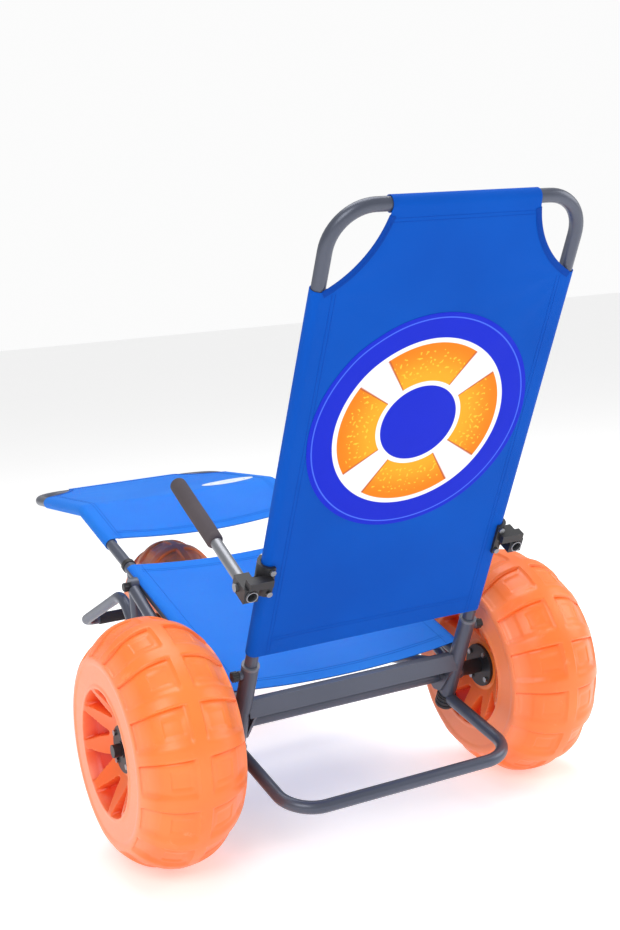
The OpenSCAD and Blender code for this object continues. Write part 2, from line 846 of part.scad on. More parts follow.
module arm_clamp(side) {
    color(dark_plastic) on_side(side) in_back() difference() {
        union() {
            translate([back_x, 0, clamp_low]) cylinder(h = clamp_high - clamp_low, r = clamp_r);
            translate([0, 0, arm_pivot]) x_rod(back_x, knuckle_x - knuckle_half - hook_gap, pivot_boss_r);
            translate([back_x + 2, -hook_rear, arm_pivot + knuckle_half + hook_gap])
                cube([arm_x - back_x + 6, hook_rear - hook_front, hook_t]);
        }
        translate([back_x, 0, clamp_low - 1])
            cylinder(h = clamp_high - clamp_low + 2, r = clamp_in);
        translate([back_x - 2 * clamp_r - 4, -clamp_r - 1, clamp_low - 1])
            cube([2 * clamp_r, 2 * clamp_r + 2, clamp_high - clamp_low + 2]);
        translate([0, 0, arm_pivot]) x_rod(back_x, arm_x, pivot_r + bolt_play);
        clamp_bolt_holes(bolt_r + bolt_play);
    }
}

module clamp_bolts() {
    color(zinc) for (side = [-1, 1]) on_side(side) in_back() {
        for (s = [clamp_low + clamp_bolt_in, clamp_high - clamp_bolt_in])
            translate([back_x + clamp_bolt_x, -clamp_r, s]) rotate([0, 0, 90])
                x_bolt(2 * clamp_r, bolt_r, bolt_head_r, bolt_head_t);
        translate([0, 0, arm_pivot]) {
            x_rod(back_x + clamp_in + 0.5, knuckle_x + knuckle_half + hook_gap, pivot_r);
            x_rod(knuckle_x + knuckle_half + hook_gap, knuckle_x + knuckle_half + 5, pivot_r + 3);
        }
    }
}

// Armrests --------------------------------------------------------------------------------------

module at_arm(side) {
    on_side(side) in_back() translate([arm_x, 0, arm_pivot]) children();
}

module pivot_hole() {
    x_rod(-2 * arm_r, 2 * arm_r, pivot_r + slide_play);
}

module arm_tube(side) {
    color(zinc) at_arm(side) difference() {
        y_rod(-arm_tail, arm_reach - cap_t, arm_r);
        y_rod(-arm_tail - 1, arm_reach, arm_r - 1.5);
        pivot_hole();
    }
}

module arm_knuckle(side) {
    shift = knuckle_x - arm_x;
    color(dark_plastic) at_arm(side) difference() {
        translate([shift - knuckle_half, -knuckle_back, -knuckle_half])
            cube([2 * knuckle_half, knuckle_back + knuckle_front, 2 * knuckle_half]);
        y_rod(-knuckle_back - 1, knuckle_front + 1, arm_r + axle_play);
        pivot_hole();
    }
}

module arm_grip(side) {
    end_r = 6;
    color(foam) at_arm(side) difference() {
        union() {
            y_rod(arm_reach - grip_len, arm_reach - end_r, grip_r);
            translate([0, arm_reach - end_r, 0]) rotate([-90, 0, 0]) rotate_extrude() union() {
                square([grip_r - end_r, end_r]);
                intersection() {
                    translate([grip_r - end_r, 0]) circle(end_r);
                    square([grip_r, end_r]);
                }
            }
        }
        y_rod(arm_reach - grip_len - 1, arm_reach - cap_t, arm_r + axle_play);
    }
}

// Leg rest --------------------------------------------------------------------------------------

// The leg rest's tube, from each rail round to the middle of the front
module leg_tube() {
    color(steel) in_rail() for (side = [-1, 1]) on_side(side)
        translate([rail_x, -leg_insert, 0]) rotate([-90, 0, 0]) rotate([0, 0, 90])
        straight(leg_insert + leg_knee - knee_tangent) bend(knee_bend, knee_turn)
        rotate([0, 0, 90]) straight(leg_front - knee_tangent - corner_bend) bend(corner_bend, 90)
        straight(rail_x - corner_bend);
}

module leg_collars() {
    color(dark_plastic) for (side = [-1, 1]) in_rail() translate([side * rail_x, 0, 0]) difference() {
        y_rod(collar_gap, 12, rail_r + 1.5);
        y_rod(-1, 13, tube_r + axle_play);
    }
}

// Turns its children round the knee, from the start of its bend
module after_knee() {
    translate([0, 0, -knee_bend]) rotate([-knee_turn, 0, 0]) translate([0, 0, knee_bend]) children();
}

// Puts its children at the end of the knee's bend, with y along the front panel
module past_knee() {
    translate([0, leg_knee - knee_tangent, 0]) after_knee() children();
}

// Section of the leg rest's cloth across the chair: a panel with a sleeve at each side
module leg_section() {
    difference() {
        union() {
            translate([-rail_x, panel_low]) square([2 * rail_x, cloth_t]);
            for (side = [-1, 1]) translate([side * rail_x, 0]) circle(cloth_out);
        }
        for (side = [-1, 1]) translate([side * rail_x, 0]) circle(cloth_in);
    }
}

module leg_fabric() {
    color(cloth_light) in_rail() {
        translate([0, leg_knee - knee_tangent, 0]) {
            rotate([90, 0, 0]) linear_extrude(leg_knee - knee_tangent - leg_hem) leg_section();
            leg_knee_cloth();
        }
        past_knee() leg_front_cloth();
    }
}

// The cloth round the knee, trimmed square to the front panel
module leg_knee_cloth() {
    room = rail_x + cloth_out + 1;
    difference() {
        translate([0, 0, -knee_bend]) rotate([0, 90, 0]) mirror([0, 1, 0]) rotate([0, 0, 180])
            rotate_extrude(angle = knee_turn + bend_spare) translate([knee_bend, 0]) rotate([0, 0, -90])
            leg_section();
        after_knee() translate([-room, 0, -cloth_out - 1]) cube([2 * room, 2 * cloth_out, 2 * cloth_out + 2]);
    }
}

// The front panel with its cut-out corners, its two side sleeves and its front sleeve
module leg_front_cloth() {
    side_len = leg_front - knee_tangent - sleeve_end;
    difference() {
        union() {
            translate([0, 0, panel_low]) linear_extrude(cloth_t) difference() {
                translate([-rail_x, 0]) square([2 * rail_x, leg_front - knee_tangent]);
                for (side = [-1, 1])
                    translate([side * (rail_x + cutout_out), leg_front - knee_tangent + cutout_past])
                        circle(cutout_r);
            }
            for (side = [-1, 1]) translate([side * rail_x, 0, 0]) y_rod(0, side_len, cloth_out);
            translate([0, leg_front - knee_tangent, 0])
                x_rod(-rail_x - sleeve_half, rail_x + sleeve_half, cloth_out);
        }
        for (side = [-1, 1]) translate([side * rail_x, 0, 0]) y_rod(-1, side_len + 1, cloth_in);
        translate([0, leg_front - knee_tangent, 0]) x_rod(-rail_x, rail_x, cloth_in);
    }
}

patch_x = 137;
patch_y = 38;
patch_long = 62;
patch_wide = 34;

module leg_patch() {
    color(patch_white) in_rail() past_knee() translate([patch_x, patch_y, panel_high])
        linear_extrude(print_t) union() {
            square([2 * (patch_long - patch_wide), 2 * patch_wide], center = true);
            for (side = [-1, 1]) translate([side * (patch_long - patch_wide), 0]) circle(patch_wide);
        }
}

// Knobs -----------------------------------------------------------------------------------------

// A lobed hand knob along +X: its stud from x = tip, its head from x = face
module knob(tip, face) {
    lobes = 5;
    color(dark_plastic) union() {
        x_rod(tip, face + 1, stud_r);
        x_rod(face, face + knob_len, knob_r);
        for (i = [0:lobes - 1]) rotate([i * 360 / lobes, 0, 0]) translate([0, 0, knob_r - 1])
            x_rod(face + 1, face + knob_len - 1, knob_lobe_r);
    }
}

module back_knob(side) {
    on_side(side) in_back() translate([0, 0, socket_up - back_knob_down])
        knob(back_x + tube_r + stud_touch, back_x + socket_r + boss_len + knob_gap);
}

module leg_knob(side) {
    on_side(side) in_rail() translate([0, -leg_knob_back, 0])
        knob(rail_x + tube_r + stud_touch, strut_x + eye_half + knob_gap);
}

// Every node ------------------------------------------------------------------------------------

seat_rail(-1);  // seat_rail_left
seat_rail(1);  // seat_rail_right
socket(-1);  // socket_left
socket(1);  // socket_right
socket_bushes();
cross_bar();
axle_beam();
gusset_plates();
side_strut(-1);  // side_strut_left
side_strut(1);  // side_strut_right
front_posts();
front_cross_tube();
lower_rails();
fork_legs();
foot_arm(-1);  // foot_arm_left
foot_arm(1);  // foot_arm_right
foot_grips();
tube_plugs();
push_bar();
foot_caps();
stop_bolts();
rear_axle();
axle_collars();
axle_caps();
front_axle();
front_spacers();
front_nuts();
seat_fabric();
back_tube();
back_glides();
back_fabric();
back_print();
arm_clamp(-1);  // arm_clamp_left
arm_clamp(1);  // arm_clamp_right
clamp_bolts();
arm_tube(-1);  // arm_tube_left
arm_knuckle(-1);  // arm_knuckle_left
arm_grip(-1);  // arm_grip_left
arm_tube(1);  // arm_tube_right
arm_knuckle(1);  // arm_knuckle_right
arm_grip(1);  // arm_grip_right
leg_tube();
leg_fabric();
leg_patch();
leg_collars();
at_rear_wheel(-1) wheel(rear_wheel_d, rear_wheel_w, rear_shoulder, rear_hub_half);  // wheel_rear_left
at_rear_wheel(-1) hub(rear_hub_half, rear_axle_r);  // hub_rear_left
at_rear_wheel(-1) hub_screws(rear_hub_half);  // hub_screws_rear_left
at_rear_wheel(1) wheel(rear_wheel_d, rear_wheel_w, rear_shoulder, rear_hub_half);  // wheel_rear_right
at_rear_wheel(1) hub(rear_hub_half, rear_axle_r);  // hub_rear_right
at_rear_wheel(1) hub_screws(rear_hub_half);  // hub_screws_rear_right
at_front_wheel() wheel(front_wheel_d, front_wheel_w, front_shoulder, front_hub_half);  // wheel_front
at_front_wheel() hub(front_hub_half, front_axle_r);  // hub_front
at_front_wheel() hub_screws(front_hub_half);  // hub_screws_front
back_knob(-1);  // back_knob_left
back_knob(1);  // back_knob_right
leg_knob(-1);  // leg_knob_left
leg_knob(1);  // leg_knob_right
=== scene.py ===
"""Looks of the three-wheel beach chair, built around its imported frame.

Everything is in metres and in the frame's own axes: x across, y forwards, z up.
"""

import logging
import math
from dataclasses import dataclass, field
from enum import Enum
from typing import Callable

import bpy
import numpy as np
from mathutils import Matrix, Vector


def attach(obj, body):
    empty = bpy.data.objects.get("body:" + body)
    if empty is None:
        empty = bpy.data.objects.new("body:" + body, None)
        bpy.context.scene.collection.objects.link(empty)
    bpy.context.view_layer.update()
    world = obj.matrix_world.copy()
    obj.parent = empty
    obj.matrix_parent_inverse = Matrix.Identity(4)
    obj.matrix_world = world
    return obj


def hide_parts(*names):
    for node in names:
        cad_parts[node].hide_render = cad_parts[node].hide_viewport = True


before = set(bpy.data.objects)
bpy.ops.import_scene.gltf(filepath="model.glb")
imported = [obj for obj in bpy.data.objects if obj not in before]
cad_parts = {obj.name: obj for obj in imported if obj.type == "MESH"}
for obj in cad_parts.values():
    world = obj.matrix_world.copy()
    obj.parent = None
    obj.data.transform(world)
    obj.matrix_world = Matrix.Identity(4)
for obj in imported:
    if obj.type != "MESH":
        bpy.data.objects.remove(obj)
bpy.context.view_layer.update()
LOG = logging.getLogger("beach_chair")
MM = 0.001

AXLE_Y = -0.282265
AXLE_Z = 0.210
WHEELBASE = 0.790
BACK_TILT = math.radians(29.8)
SEAT_TILT = math.radians(18.8)
BACK_FOOT = (AXLE_Y - 0.0269658, AXLE_Z)
RAIL_START = (AXLE_Y + 0.440, AXLE_Z + 0.214)
KNEE_TURN = math.radians(20.6097)
KNEE_RADIUS = 0.07
KNEE_TANGENT = 0.0127273
SLEEVE_R = 12.3 * MM
CLOTH_T = 1.3 * MM
HEM_T = 1.1 * MM
HEM_DEPTH = 1.5 * MM
STITCH_LIFT = 0.75 * MM
STITCH_ROWS = 6 * MM
WEAVE_PITCH = 1.1 * MM
Points = np.ndarray
Layout = tuple[Points, Points, Points]
Colour = tuple[int, int, int]
SIDES = ((-1, "left"), (1, "right"))


# ---------------------------------------------------------------- small helpers


def deselect() -> None:
    """Leaves object mode and selects nothing."""
    if bpy.context.object and bpy.context.object.mode != "OBJECT":
        bpy.ops.object.mode_set(mode="OBJECT")
    bpy.ops.object.select_all(action="DESELECT")


def choose(obj: bpy.types.Object) -> None:
    """Makes one object the only selected and the active one.

    Args:
        obj: the piece.
    """
    deselect()
    obj.select_set(True)
    bpy.context.view_layer.objects.active = obj


def newest(name: str) -> bpy.types.Object:
    """Names the object that an operator just made, and returns it.

    Args:
        name: its new name.

    Returns:
        The object.
    """
    obj = bpy.context.object
    obj.name = obj.data.name = name
    return obj


def apply_modifier(obj: bpy.types.Object, kind: str, **values: object) -> None:
    """Adds a modifier with these values and applies it.

    Args:
        obj: the piece.
        kind: Blender's name of the modifier's type.
        values: the modifier's settings.
    """
    choose(obj)
    modifier = obj.modifiers.new(kind.title(), kind)
    for key, value in values.items():
        setattr(modifier, key, value)
    bpy.ops.object.modifier_apply(modifier=modifier.name)


def smooth(obj: bpy.types.Object, angle: float = 40) -> bpy.types.Object:
    """Shades a piece smooth below the angle.

    Args:
        obj: the piece.
        angle: sharpest smooth edge, in degrees.

    Returns:
        The same piece.
    """
    choose(obj)
    bpy.ops.object.shade_smooth_by_angle(angle=math.radians(angle))
    return obj


def coordinates(obj: bpy.types.Object) -> Points:
    """The piece's points, one row each.

    Args:
        obj: the piece.

    Returns:
        The points, one row each.
    """
    flat = np.zeros(len(obj.data.vertices) * 3)
    obj.data.vertices.foreach_get("co", flat)
    return flat.reshape(-1, 3)


def move_points(obj: bpy.types.Object, points: Points) -> None:
    """Puts the piece's points at new places."""
    obj.data.vertices.foreach_set("co", np.asarray(points, float).ravel())
    obj.data.update()


def tidy_shell(obj: bpy.types.Object, gap: float = 1e-5) -> None:
    """Merges doubled points and turns the faces outwards.

    Args:
        obj: the piece.
        gap: points nearer than this are merged.
    """
    choose(obj)
    bpy.ops.object.mode_set(mode="EDIT")
    bpy.ops.mesh.select_all(action="SELECT")
    bpy.ops.mesh.remove_doubles(threshold=gap)
    bpy.ops.mesh.normals_make_consistent(inside=False)
    bpy.ops.object.mode_set(mode="OBJECT")


def step(value: Points, low: float, high: float) -> Points:
    """Smooth step of an array.

    Args:
        value: where to read it.
        low: where it is 0.
        high: where it is 1; it may be below low.

    Returns:
        Values from 0 to 1.
    """
    t = np.clip((value - low) / (high - low), 0, 1)
    return t * t * (3 - 2 * t)


def dress(obj: bpy.types.Object, material: bpy.types.Material) -> None:
    """Gives a piece one material."""
    obj.data.materials.clear()
    obj.data.materials.append(material)


def finish_piece(obj: bpy.types.Object, body: str,
                 stands_for: tuple[str, ...] = ()) -> None:
    """Hands a finished piece to the frame.

    Args:
        obj: the piece.
        body: the body that it moves with.
        stands_for: CAD nodes that it replaces.
    """
    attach(obj, body)
    if stands_for:
        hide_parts(*stands_for)
    LOG.info("%s: %d faces, on %s", obj.name, len(obj.data.polygons), body)


# ---------------------------------------------------------------- shader effects


def linear(red: int, green: int, blue: int) -> tuple[float, ...]:
    """A display colour, 0 to 255, as the linear colour that shaders take.

    Args:
        red: red, 0 to 255.
        green: green, 0 to 255.
        blue: blue, 0 to 255.

    Returns:
        Red, green, blue and 1.
    """
    def one(v: int) -> float:
        """One channel."""
        c = v / 255
        return c / 12.92 if c <= 0.04045 else ((c + 0.055) / 1.055) ** 2.4
    return (one(red), one(green), one(blue), 1.0)


class Effect:
    """A shader node group that is built once and used by several materials."""

    name = "effect"
    inputs: tuple[tuple[str, float], ...] = ()

    def get(self) -> bpy.types.NodeTree:
        """Finds the group, or builds it on first use.

        Returns:
            The group.
        """
        tree = bpy.data.node_groups.get(self.name)
        if tree is None:
            tree = bpy.data.node_groups.new(self.name, "ShaderNodeTree")
            for label, value in self.inputs:
                socket = tree.interface.new_socket(
                    label, in_out="INPUT", socket_type="NodeSocketFloat")
                socket.default_value = value
            tree.interface.new_socket("Value", in_out="OUTPUT", socket_type="NodeSocketFloat")
            given, out = tree.nodes.new("NodeGroupInput"), tree.nodes.new("NodeGroupOutput")
            tree.links.new(self.wire(Wiring(tree), given), out.inputs[0])
        return tree

    def wire(self, w: "Wiring", given: bpy.types.Node) -> bpy.types.NodeSocket:
        """Builds the nodes and returns the output's source; each effect has its own."""
        raise NotImplementedError


class Wiring:
    """Short ways of adding nodes to one tree."""

    def __init__(self, tree: bpy.types.NodeTree) -> None:
        """Keeps the tree."""
        self.tree = tree

    def put(self, socket: bpy.types.NodeSocket, value: object) -> None:
        """Links a socket to a source, or sets its value.

        Args:
            socket: the socket.
            value: a source, or a plain value.
        """
        if isinstance(value, bpy.types.NodeSocket):
            self.tree.links.new(value, socket)
        elif value is not None:
            socket.default_value = value

    def add(self, kind: str, **settings: object) -> bpy.types.Node:
        """Adds a node and sets its properties.

        Args:
            kind: Blender's name of the node's type.
            settings: the node's properties.

        Returns:
            The node.
        """
        node = self.tree.nodes.new(kind)
        for key, value in settings.items():
            setattr(node, key, value)
        return node

    def math(self, operation: str, a: object, b: object = None,
             c: object = None) -> bpy.types.NodeSocket:
        """A Math node of up to three values.

        Args:
            operation: Blender's name of the sum.
            a: the first value.
            b: the second value.
            c: the third value.

        Returns:
            The node's output.
        """
        node = self.add("ShaderNodeMath", operation=operation)
        for socket, value in zip(node.inputs, (a, b, c)):
            self.put(socket, value)
        return node.outputs[0]

    def where(self, uv: bool = False) -> bpy.types.NodeSocket:
        """Object coordinates, or the piece's own flat ones."""
        return self.add("ShaderNodeTexCoord").outputs["UV" if uv else "Object"]

    def noise(self, at: object, scale: object, detail: float = 3,
              rough: float = 0.55) -> bpy.types.NodeSocket:
        """A noise value.

        Args:
            at: the coordinates.
            scale: the noise's scale.
            detail: how many octaves.
            rough: how strong the fine octaves are.

        Returns:
            The node's output.
        """
        node = self.add("ShaderNodeTexNoise")
        self.put(node.inputs["Vector"], at)
        self.put(node.inputs["Scale"], scale)
        node.inputs["Detail"].default_value = detail
        node.inputs["Roughness"].default_value = rough
        return node.outputs["Fac"]

    def ramp(self, value: object, low: float, high: float, to_low: float = 0,
             to_high: float = 1) -> bpy.types.NodeSocket:
        """Maps a range smoothly onto another, clamped.

        Args:
            value: what is mapped.
            low: the low end.
            high: the high end.
            to_low: what the low end becomes.
            to_high: what the high end becomes.

        Returns:
            The node's output.
        """
        node = self.add("ShaderNodeMapRange", interpolation_type="SMOOTHSTEP")
        for socket, v in zip(node.inputs, (value, low, high, to_low, to_high)):
            self.put(socket, v)
        return node.outputs[0]

    def mix(self, factor: object, a: object, b: object) -> bpy.types.NodeSocket:
        """Mixes two colours.

        Args:
            factor: share of the second.
            a: the first value.
            b: the second value.

        Returns:
            The mixed colour.
        """
        node = self.add("ShaderNodeMix", data_type="RGBA")
        self.put(node.inputs[0], factor)
        self.put(node.inputs[6], a)
        self.put(node.inputs[7], b)
        return node.outputs[2]

    def bump(self, height: object, distance: float, strength: float = 1,
             normal: object = None) -> bpy.types.NodeSocket:
        """A bump normal from a height.

        Args:
            height: the height, 0 to 1.
            distance: what a height of 1 stands for.
            strength: how much of it counts.
            normal: a normal to start from.

        Returns:
            The normal.
        """
        node = self.add("ShaderNodeBump")
        node.inputs["Strength"].default_value = strength
        node.inputs["Distance"].default_value = distance
        self.put(node.inputs["Height"], height)
        self.put(node.inputs["Normal"], normal)
        return node.outputs[0]

    def effect(self, effect: Effect, **values: object) -> bpy.types.NodeSocket:
        """Places a shared effect, with its own values.

        Args:
            effect: the shared effect.
            values: its inputs.

        Returns:
            The effect's output.
        """
        node = self.add("ShaderNodeGroup", node_tree=effect.get())
        for key, value in values.items():
            self.put(node.inputs[key], value)
        return node.outputs[0]


class Scuffs(Effect):
    """Thin, patchy rubbed marks, 0 to 1."""

    name = "scuffs"
    inputs = (("Scale", 30.0), ("Amount", 0.3))

    def wire(self, w: Wiring, given: bpy.types.Node) -> bpy.types.NodeSocket:
        """Streaky noise cut by a slow one.

        Args:
            w: the group's wiring.
            given: the group's input node.

        Returns:
            The output's source.
        """
        at = w.where()
        streak = w.add("ShaderNodeMapping")
        w.put(streak.inputs["Vector"], at)
        streak.inputs["Scale"].default_value = (1, 4, 1)
        fine = w.ramp(w.noise(streak.outputs[0], given.outputs["Scale"], 6, 0.7), 0.56, 0.72)
        patch = w.ramp(w.noise(at, 9.0, 2), 0.45, 0.7)
        return w.math("MULTIPLY", w.math("MULTIPLY", fine, patch), given.outputs["Amount"])


class EdgeWear(Effect):
    """Bright mask along hard edges, broken up."""

    name = "edge_wear"
    inputs = (("Width", 0.0015), ("Amount", 1.0))

    def wire(self, w: Wiring, given: bpy.types.Node) -> bpy.types.NodeSocket:
        """Compares a rounded normal with the plain one.

        Args:
            w: the group's wiring.
            given: the group's input node.

        Returns:
            The output's source.
        """
        rounded = w.add("ShaderNodeBevel", samples=4)
        w.put(rounded.inputs["Radius"], given.outputs["Width"])
        plain = w.add("ShaderNodeNewGeometry").outputs["Normal"]
        dot = w.add("ShaderNodeVectorMath", operation="DOT_PRODUCT")
        w.put(dot.inputs[0], rounded.outputs[0])
        w.put(dot.inputs[1], plain)
        edge = w.ramp(dot.outputs["Value"], 0.985, 0.90)
        broken = w.ramp(w.noise(w.where(), 160.0, 4, 0.7), 0.42, 0.62)
        return w.math("MULTIPLY", w.math("MULTIPLY", edge, broken), given.outputs["Amount"])


class Clouds(Effect):
    """Slow shade variation around 0.5."""

    name = "clouds"
    inputs = (("Scale", 6.0), ("Amount", 1.0))

    def wire(self, w: Wiring, given: bpy.types.Node) -> bpy.types.NodeSocket:
        """Two octaves of slow noise."""
        value = w.noise(w.where(), given.outputs["Scale"], 3, 0.5)
        return w.math("MULTIPLY_ADD", w.math("SUBTRACT", value, 0.5), given.outputs["Amount"], 0.5)


class Grain(Effect):
    """Fine moulded or sprayed grain height, 0 to 1."""

    name = "grain"
    inputs = (("Scale", 400.0),)

    def wire(self, w: Wiring, given: bpy.types.Node) -> bpy.types.NodeSocket:
        """Plain fine noise."""
        return w.noise(w.where(), given.outputs["Scale"], 4, 0.6)


class Weave(Effect):
    """Height of a plain weave laid along the cloth's own flat coordinates, which are in metres."""

    name = "weave"
    inputs = (("Pitch", 0.0011),)

    def wire(self, w: Wiring, given: bpy.types.Node) -> bpy.types.NodeSocket:
        """Over and under threads from two waves.

        Args:
            w: the group's wiring.
            given: the group's input node.

        Returns:
            The output's source.
        """
        parts = w.add("ShaderNodeSeparateXYZ")
        w.put(parts.inputs[0], w.where(uv=True))
        turn = w.math("DIVIDE", math.pi, given.outputs["Pitch"])
        along, across = (w.math("MULTIPLY", parts.outputs[k], turn) for k in (0, 1))
        a, b = (w.math("ABSOLUTE", w.math("SINE", v)) for v in (along, across))
        check = w.math("MULTIPLY", w.math("SINE", along), w.math("SINE", across))
        over = w.math("MULTIPLY", w.math("SUBTRACT", a, b), w.math("SIGN", check))
        return w.math("MULTIPLY_ADD", over, 0.25, w.math("MULTIPLY", w.math("MAXIMUM", a, b), 0.5))


class Material(Wiring):
    """A new material with its Principled shader at hand."""

    def __init__(self, name: str) -> None:
        """Makes the material and finds its nodes.

        Args:
            name: its name.
        """
        self.material = bpy.data.materials.new(name)
        self.material.use_nodes = True
        super().__init__(self.material.node_tree)
        self.shader = self.tree.nodes["Principled BSDF"]

    def set(self, **values: object) -> None:
        """Sets or links the shader's sockets; an underscore stands for a space."""
        for key, value in values.items():
            self.put(self.shader.inputs[key.replace("_", " ")], value)


# ---------------------------------------------------------------- finishes


@dataclass(frozen=True)
class HardFinish:
    """Paint, plastic, metal, rubber or foam: a base with clouds, grain, scuffs and worn edges."""

    name: str
    colour: Colour
    worn: Colour
    roughness: float = 0.4
    metallic: float = 0.0
    coat: float = 0.0
    grain: float = 400.0
    depth: float = 0.00006
    wear: float = 0.5
    scuff: float = 0.3
    clouds: float = 0.25

    def build(self) -> bpy.types.Material:
        """Wires the material.

        Returns:
            The material.
        """
        m = Material(self.name)
        base = linear(*self.colour)
        dark = tuple(0.72 * v for v in base[:3]) + (1.0,)
        light = tuple(min(1.25 * v, 1) for v in base[:3]) + (1.0,)
        shade = m.effect(Clouds(), Scale=7.0, Amount=self.clouds * 4)
        body = m.mix(shade, dark, light)
        wear = m.math("MAXIMUM", m.effect(EdgeWear(), Width=0.0012, Amount=self.wear),
                      m.effect(Scuffs(), Scale=45.0, Amount=self.scuff))
        grain = m.effect(Grain(), Scale=self.grain)
        rough = m.math("ADD", m.math("MULTIPLY_ADD", grain, 0.14, self.roughness - 0.07),
                       m.math("MULTIPLY", wear, 0.12))
        m.set(Base_Color=m.mix(wear, body, linear(*self.worn)), Roughness=rough,
              Metallic=self.metallic, Coat_Weight=self.coat, Coat_Roughness=0.18,
              Normal=m.bump(grain, self.depth))
        return m.material


@dataclass(frozen=True)
class ClothFinish:
    """Coated woven cloth: threads, slow shade changes, sheen and a little light through it."""

    name: str
    colour: Colour
    deep: Colour
    pitch: float = WEAVE_PITCH
    roughness: float = 0.62
    glow: float = 0.0

    def build(self) -> bpy.types.Material:
        """Wires the material.

        Returns:
            The material.
        """
        m = Material(self.name)
        weave = m.effect(Weave(), Pitch=self.pitch)
        clouds = m.effect(Clouds(), Scale=5.0, Amount=1.5)
        thread = m.math("MULTIPLY_ADD", weave, 0.5, m.math("MULTIPLY", clouds, 0.55))
        colour = m.mix(thread, linear(*self.deep), linear(*self.colour))
        slub = m.noise(m.where(uv=True), 900.0, 2)
        height = m.math("MULTIPLY_ADD", slub, 0.3, weave)
        rough = m.math("MULTIPLY_ADD", weave, -0.12, self.roughness + 0.05)
        m.set(Base_Color=colour, Roughness=rough, Normal=m.bump(height, 0.00018, 0.8))
        m.set(Sheen_Weight=0.03, Sheen_Roughness=0.5, Specular_IOR_Level=0.09,
              Subsurface_Weight=self.glow, Subsurface_Scale=0.02)
        m.shader.inputs["Sheen Tint"].default_value = linear(150, 190, 255)
        return m.material


@dataclass(frozen=True)
class WheelFinish:
    """Blow-moulded plastic; painted shade reddens the dish, a painted highlight lightens the
    sidewall; soft scuffs on the tread.
    """

    name: str = "moulded_orange"

    def build(self) -> bpy.types.Material:
        """Wires the material.

        Returns:
            The material.
        """
        m = Material(self.name)
        clouds = m.effect(Clouds(), Scale=4.0, Amount=1.6)
        body = m.mix(clouds, linear(252, 104, 32), linear(255, 138, 60))
        # Painted shade: the dish, and most of all its pocket floors, is mixed towards a deeper red
        # as if in shadow.
        depth = m.add("ShaderNodeAttribute", attribute_name="dish_shade_depth").outputs["Fac"]
        body = m.mix(depth, body, linear(226, 58, 22))
        # Painted highlight: the flat sidewall ring is mixed towards a pale pink as if lit.
        side = m.add("ShaderNodeAttribute", attribute_name="sidewall_highlight").outputs["Fac"]
        body = m.mix(m.math("MULTIPLY", side, 0.55), body, linear(255, 150, 108))
        scuff = m.effect(Scuffs(), Scale=26.0, Amount=0.28)
        body = m.mix(scuff, body, linear(255, 190, 150))
        grain = m.effect(Grain(), Scale=260.0)
        soft = m.noise(m.where(), 24.0, 2)
        normal = m.bump(soft, 0.0006, 0.6, m.bump(grain, 0.00008))
        rough = m.math("MULTIPLY_ADD", grain, 0.16, m.math("MULTIPLY_ADD", scuff, 0.3, 0.30))
        m.set(Base_Color=body, Roughness=rough, Normal=normal)
        m.set(Specular_IOR_Level=0.5, Subsurface_Weight=0.12, Subsurface_Scale=0.02,
              Coat_Weight=0.12, Coat_Roughness=0.3)
        m.shader.inputs["Subsurface Radius"].default_value = (1.0, 0.35, 0.1)
        return m.material


class PrintKind(Enum):
    """What a printed film shows."""

    LIFE_RING = "life_ring"
    PLAIN_RING = "plain_ring"


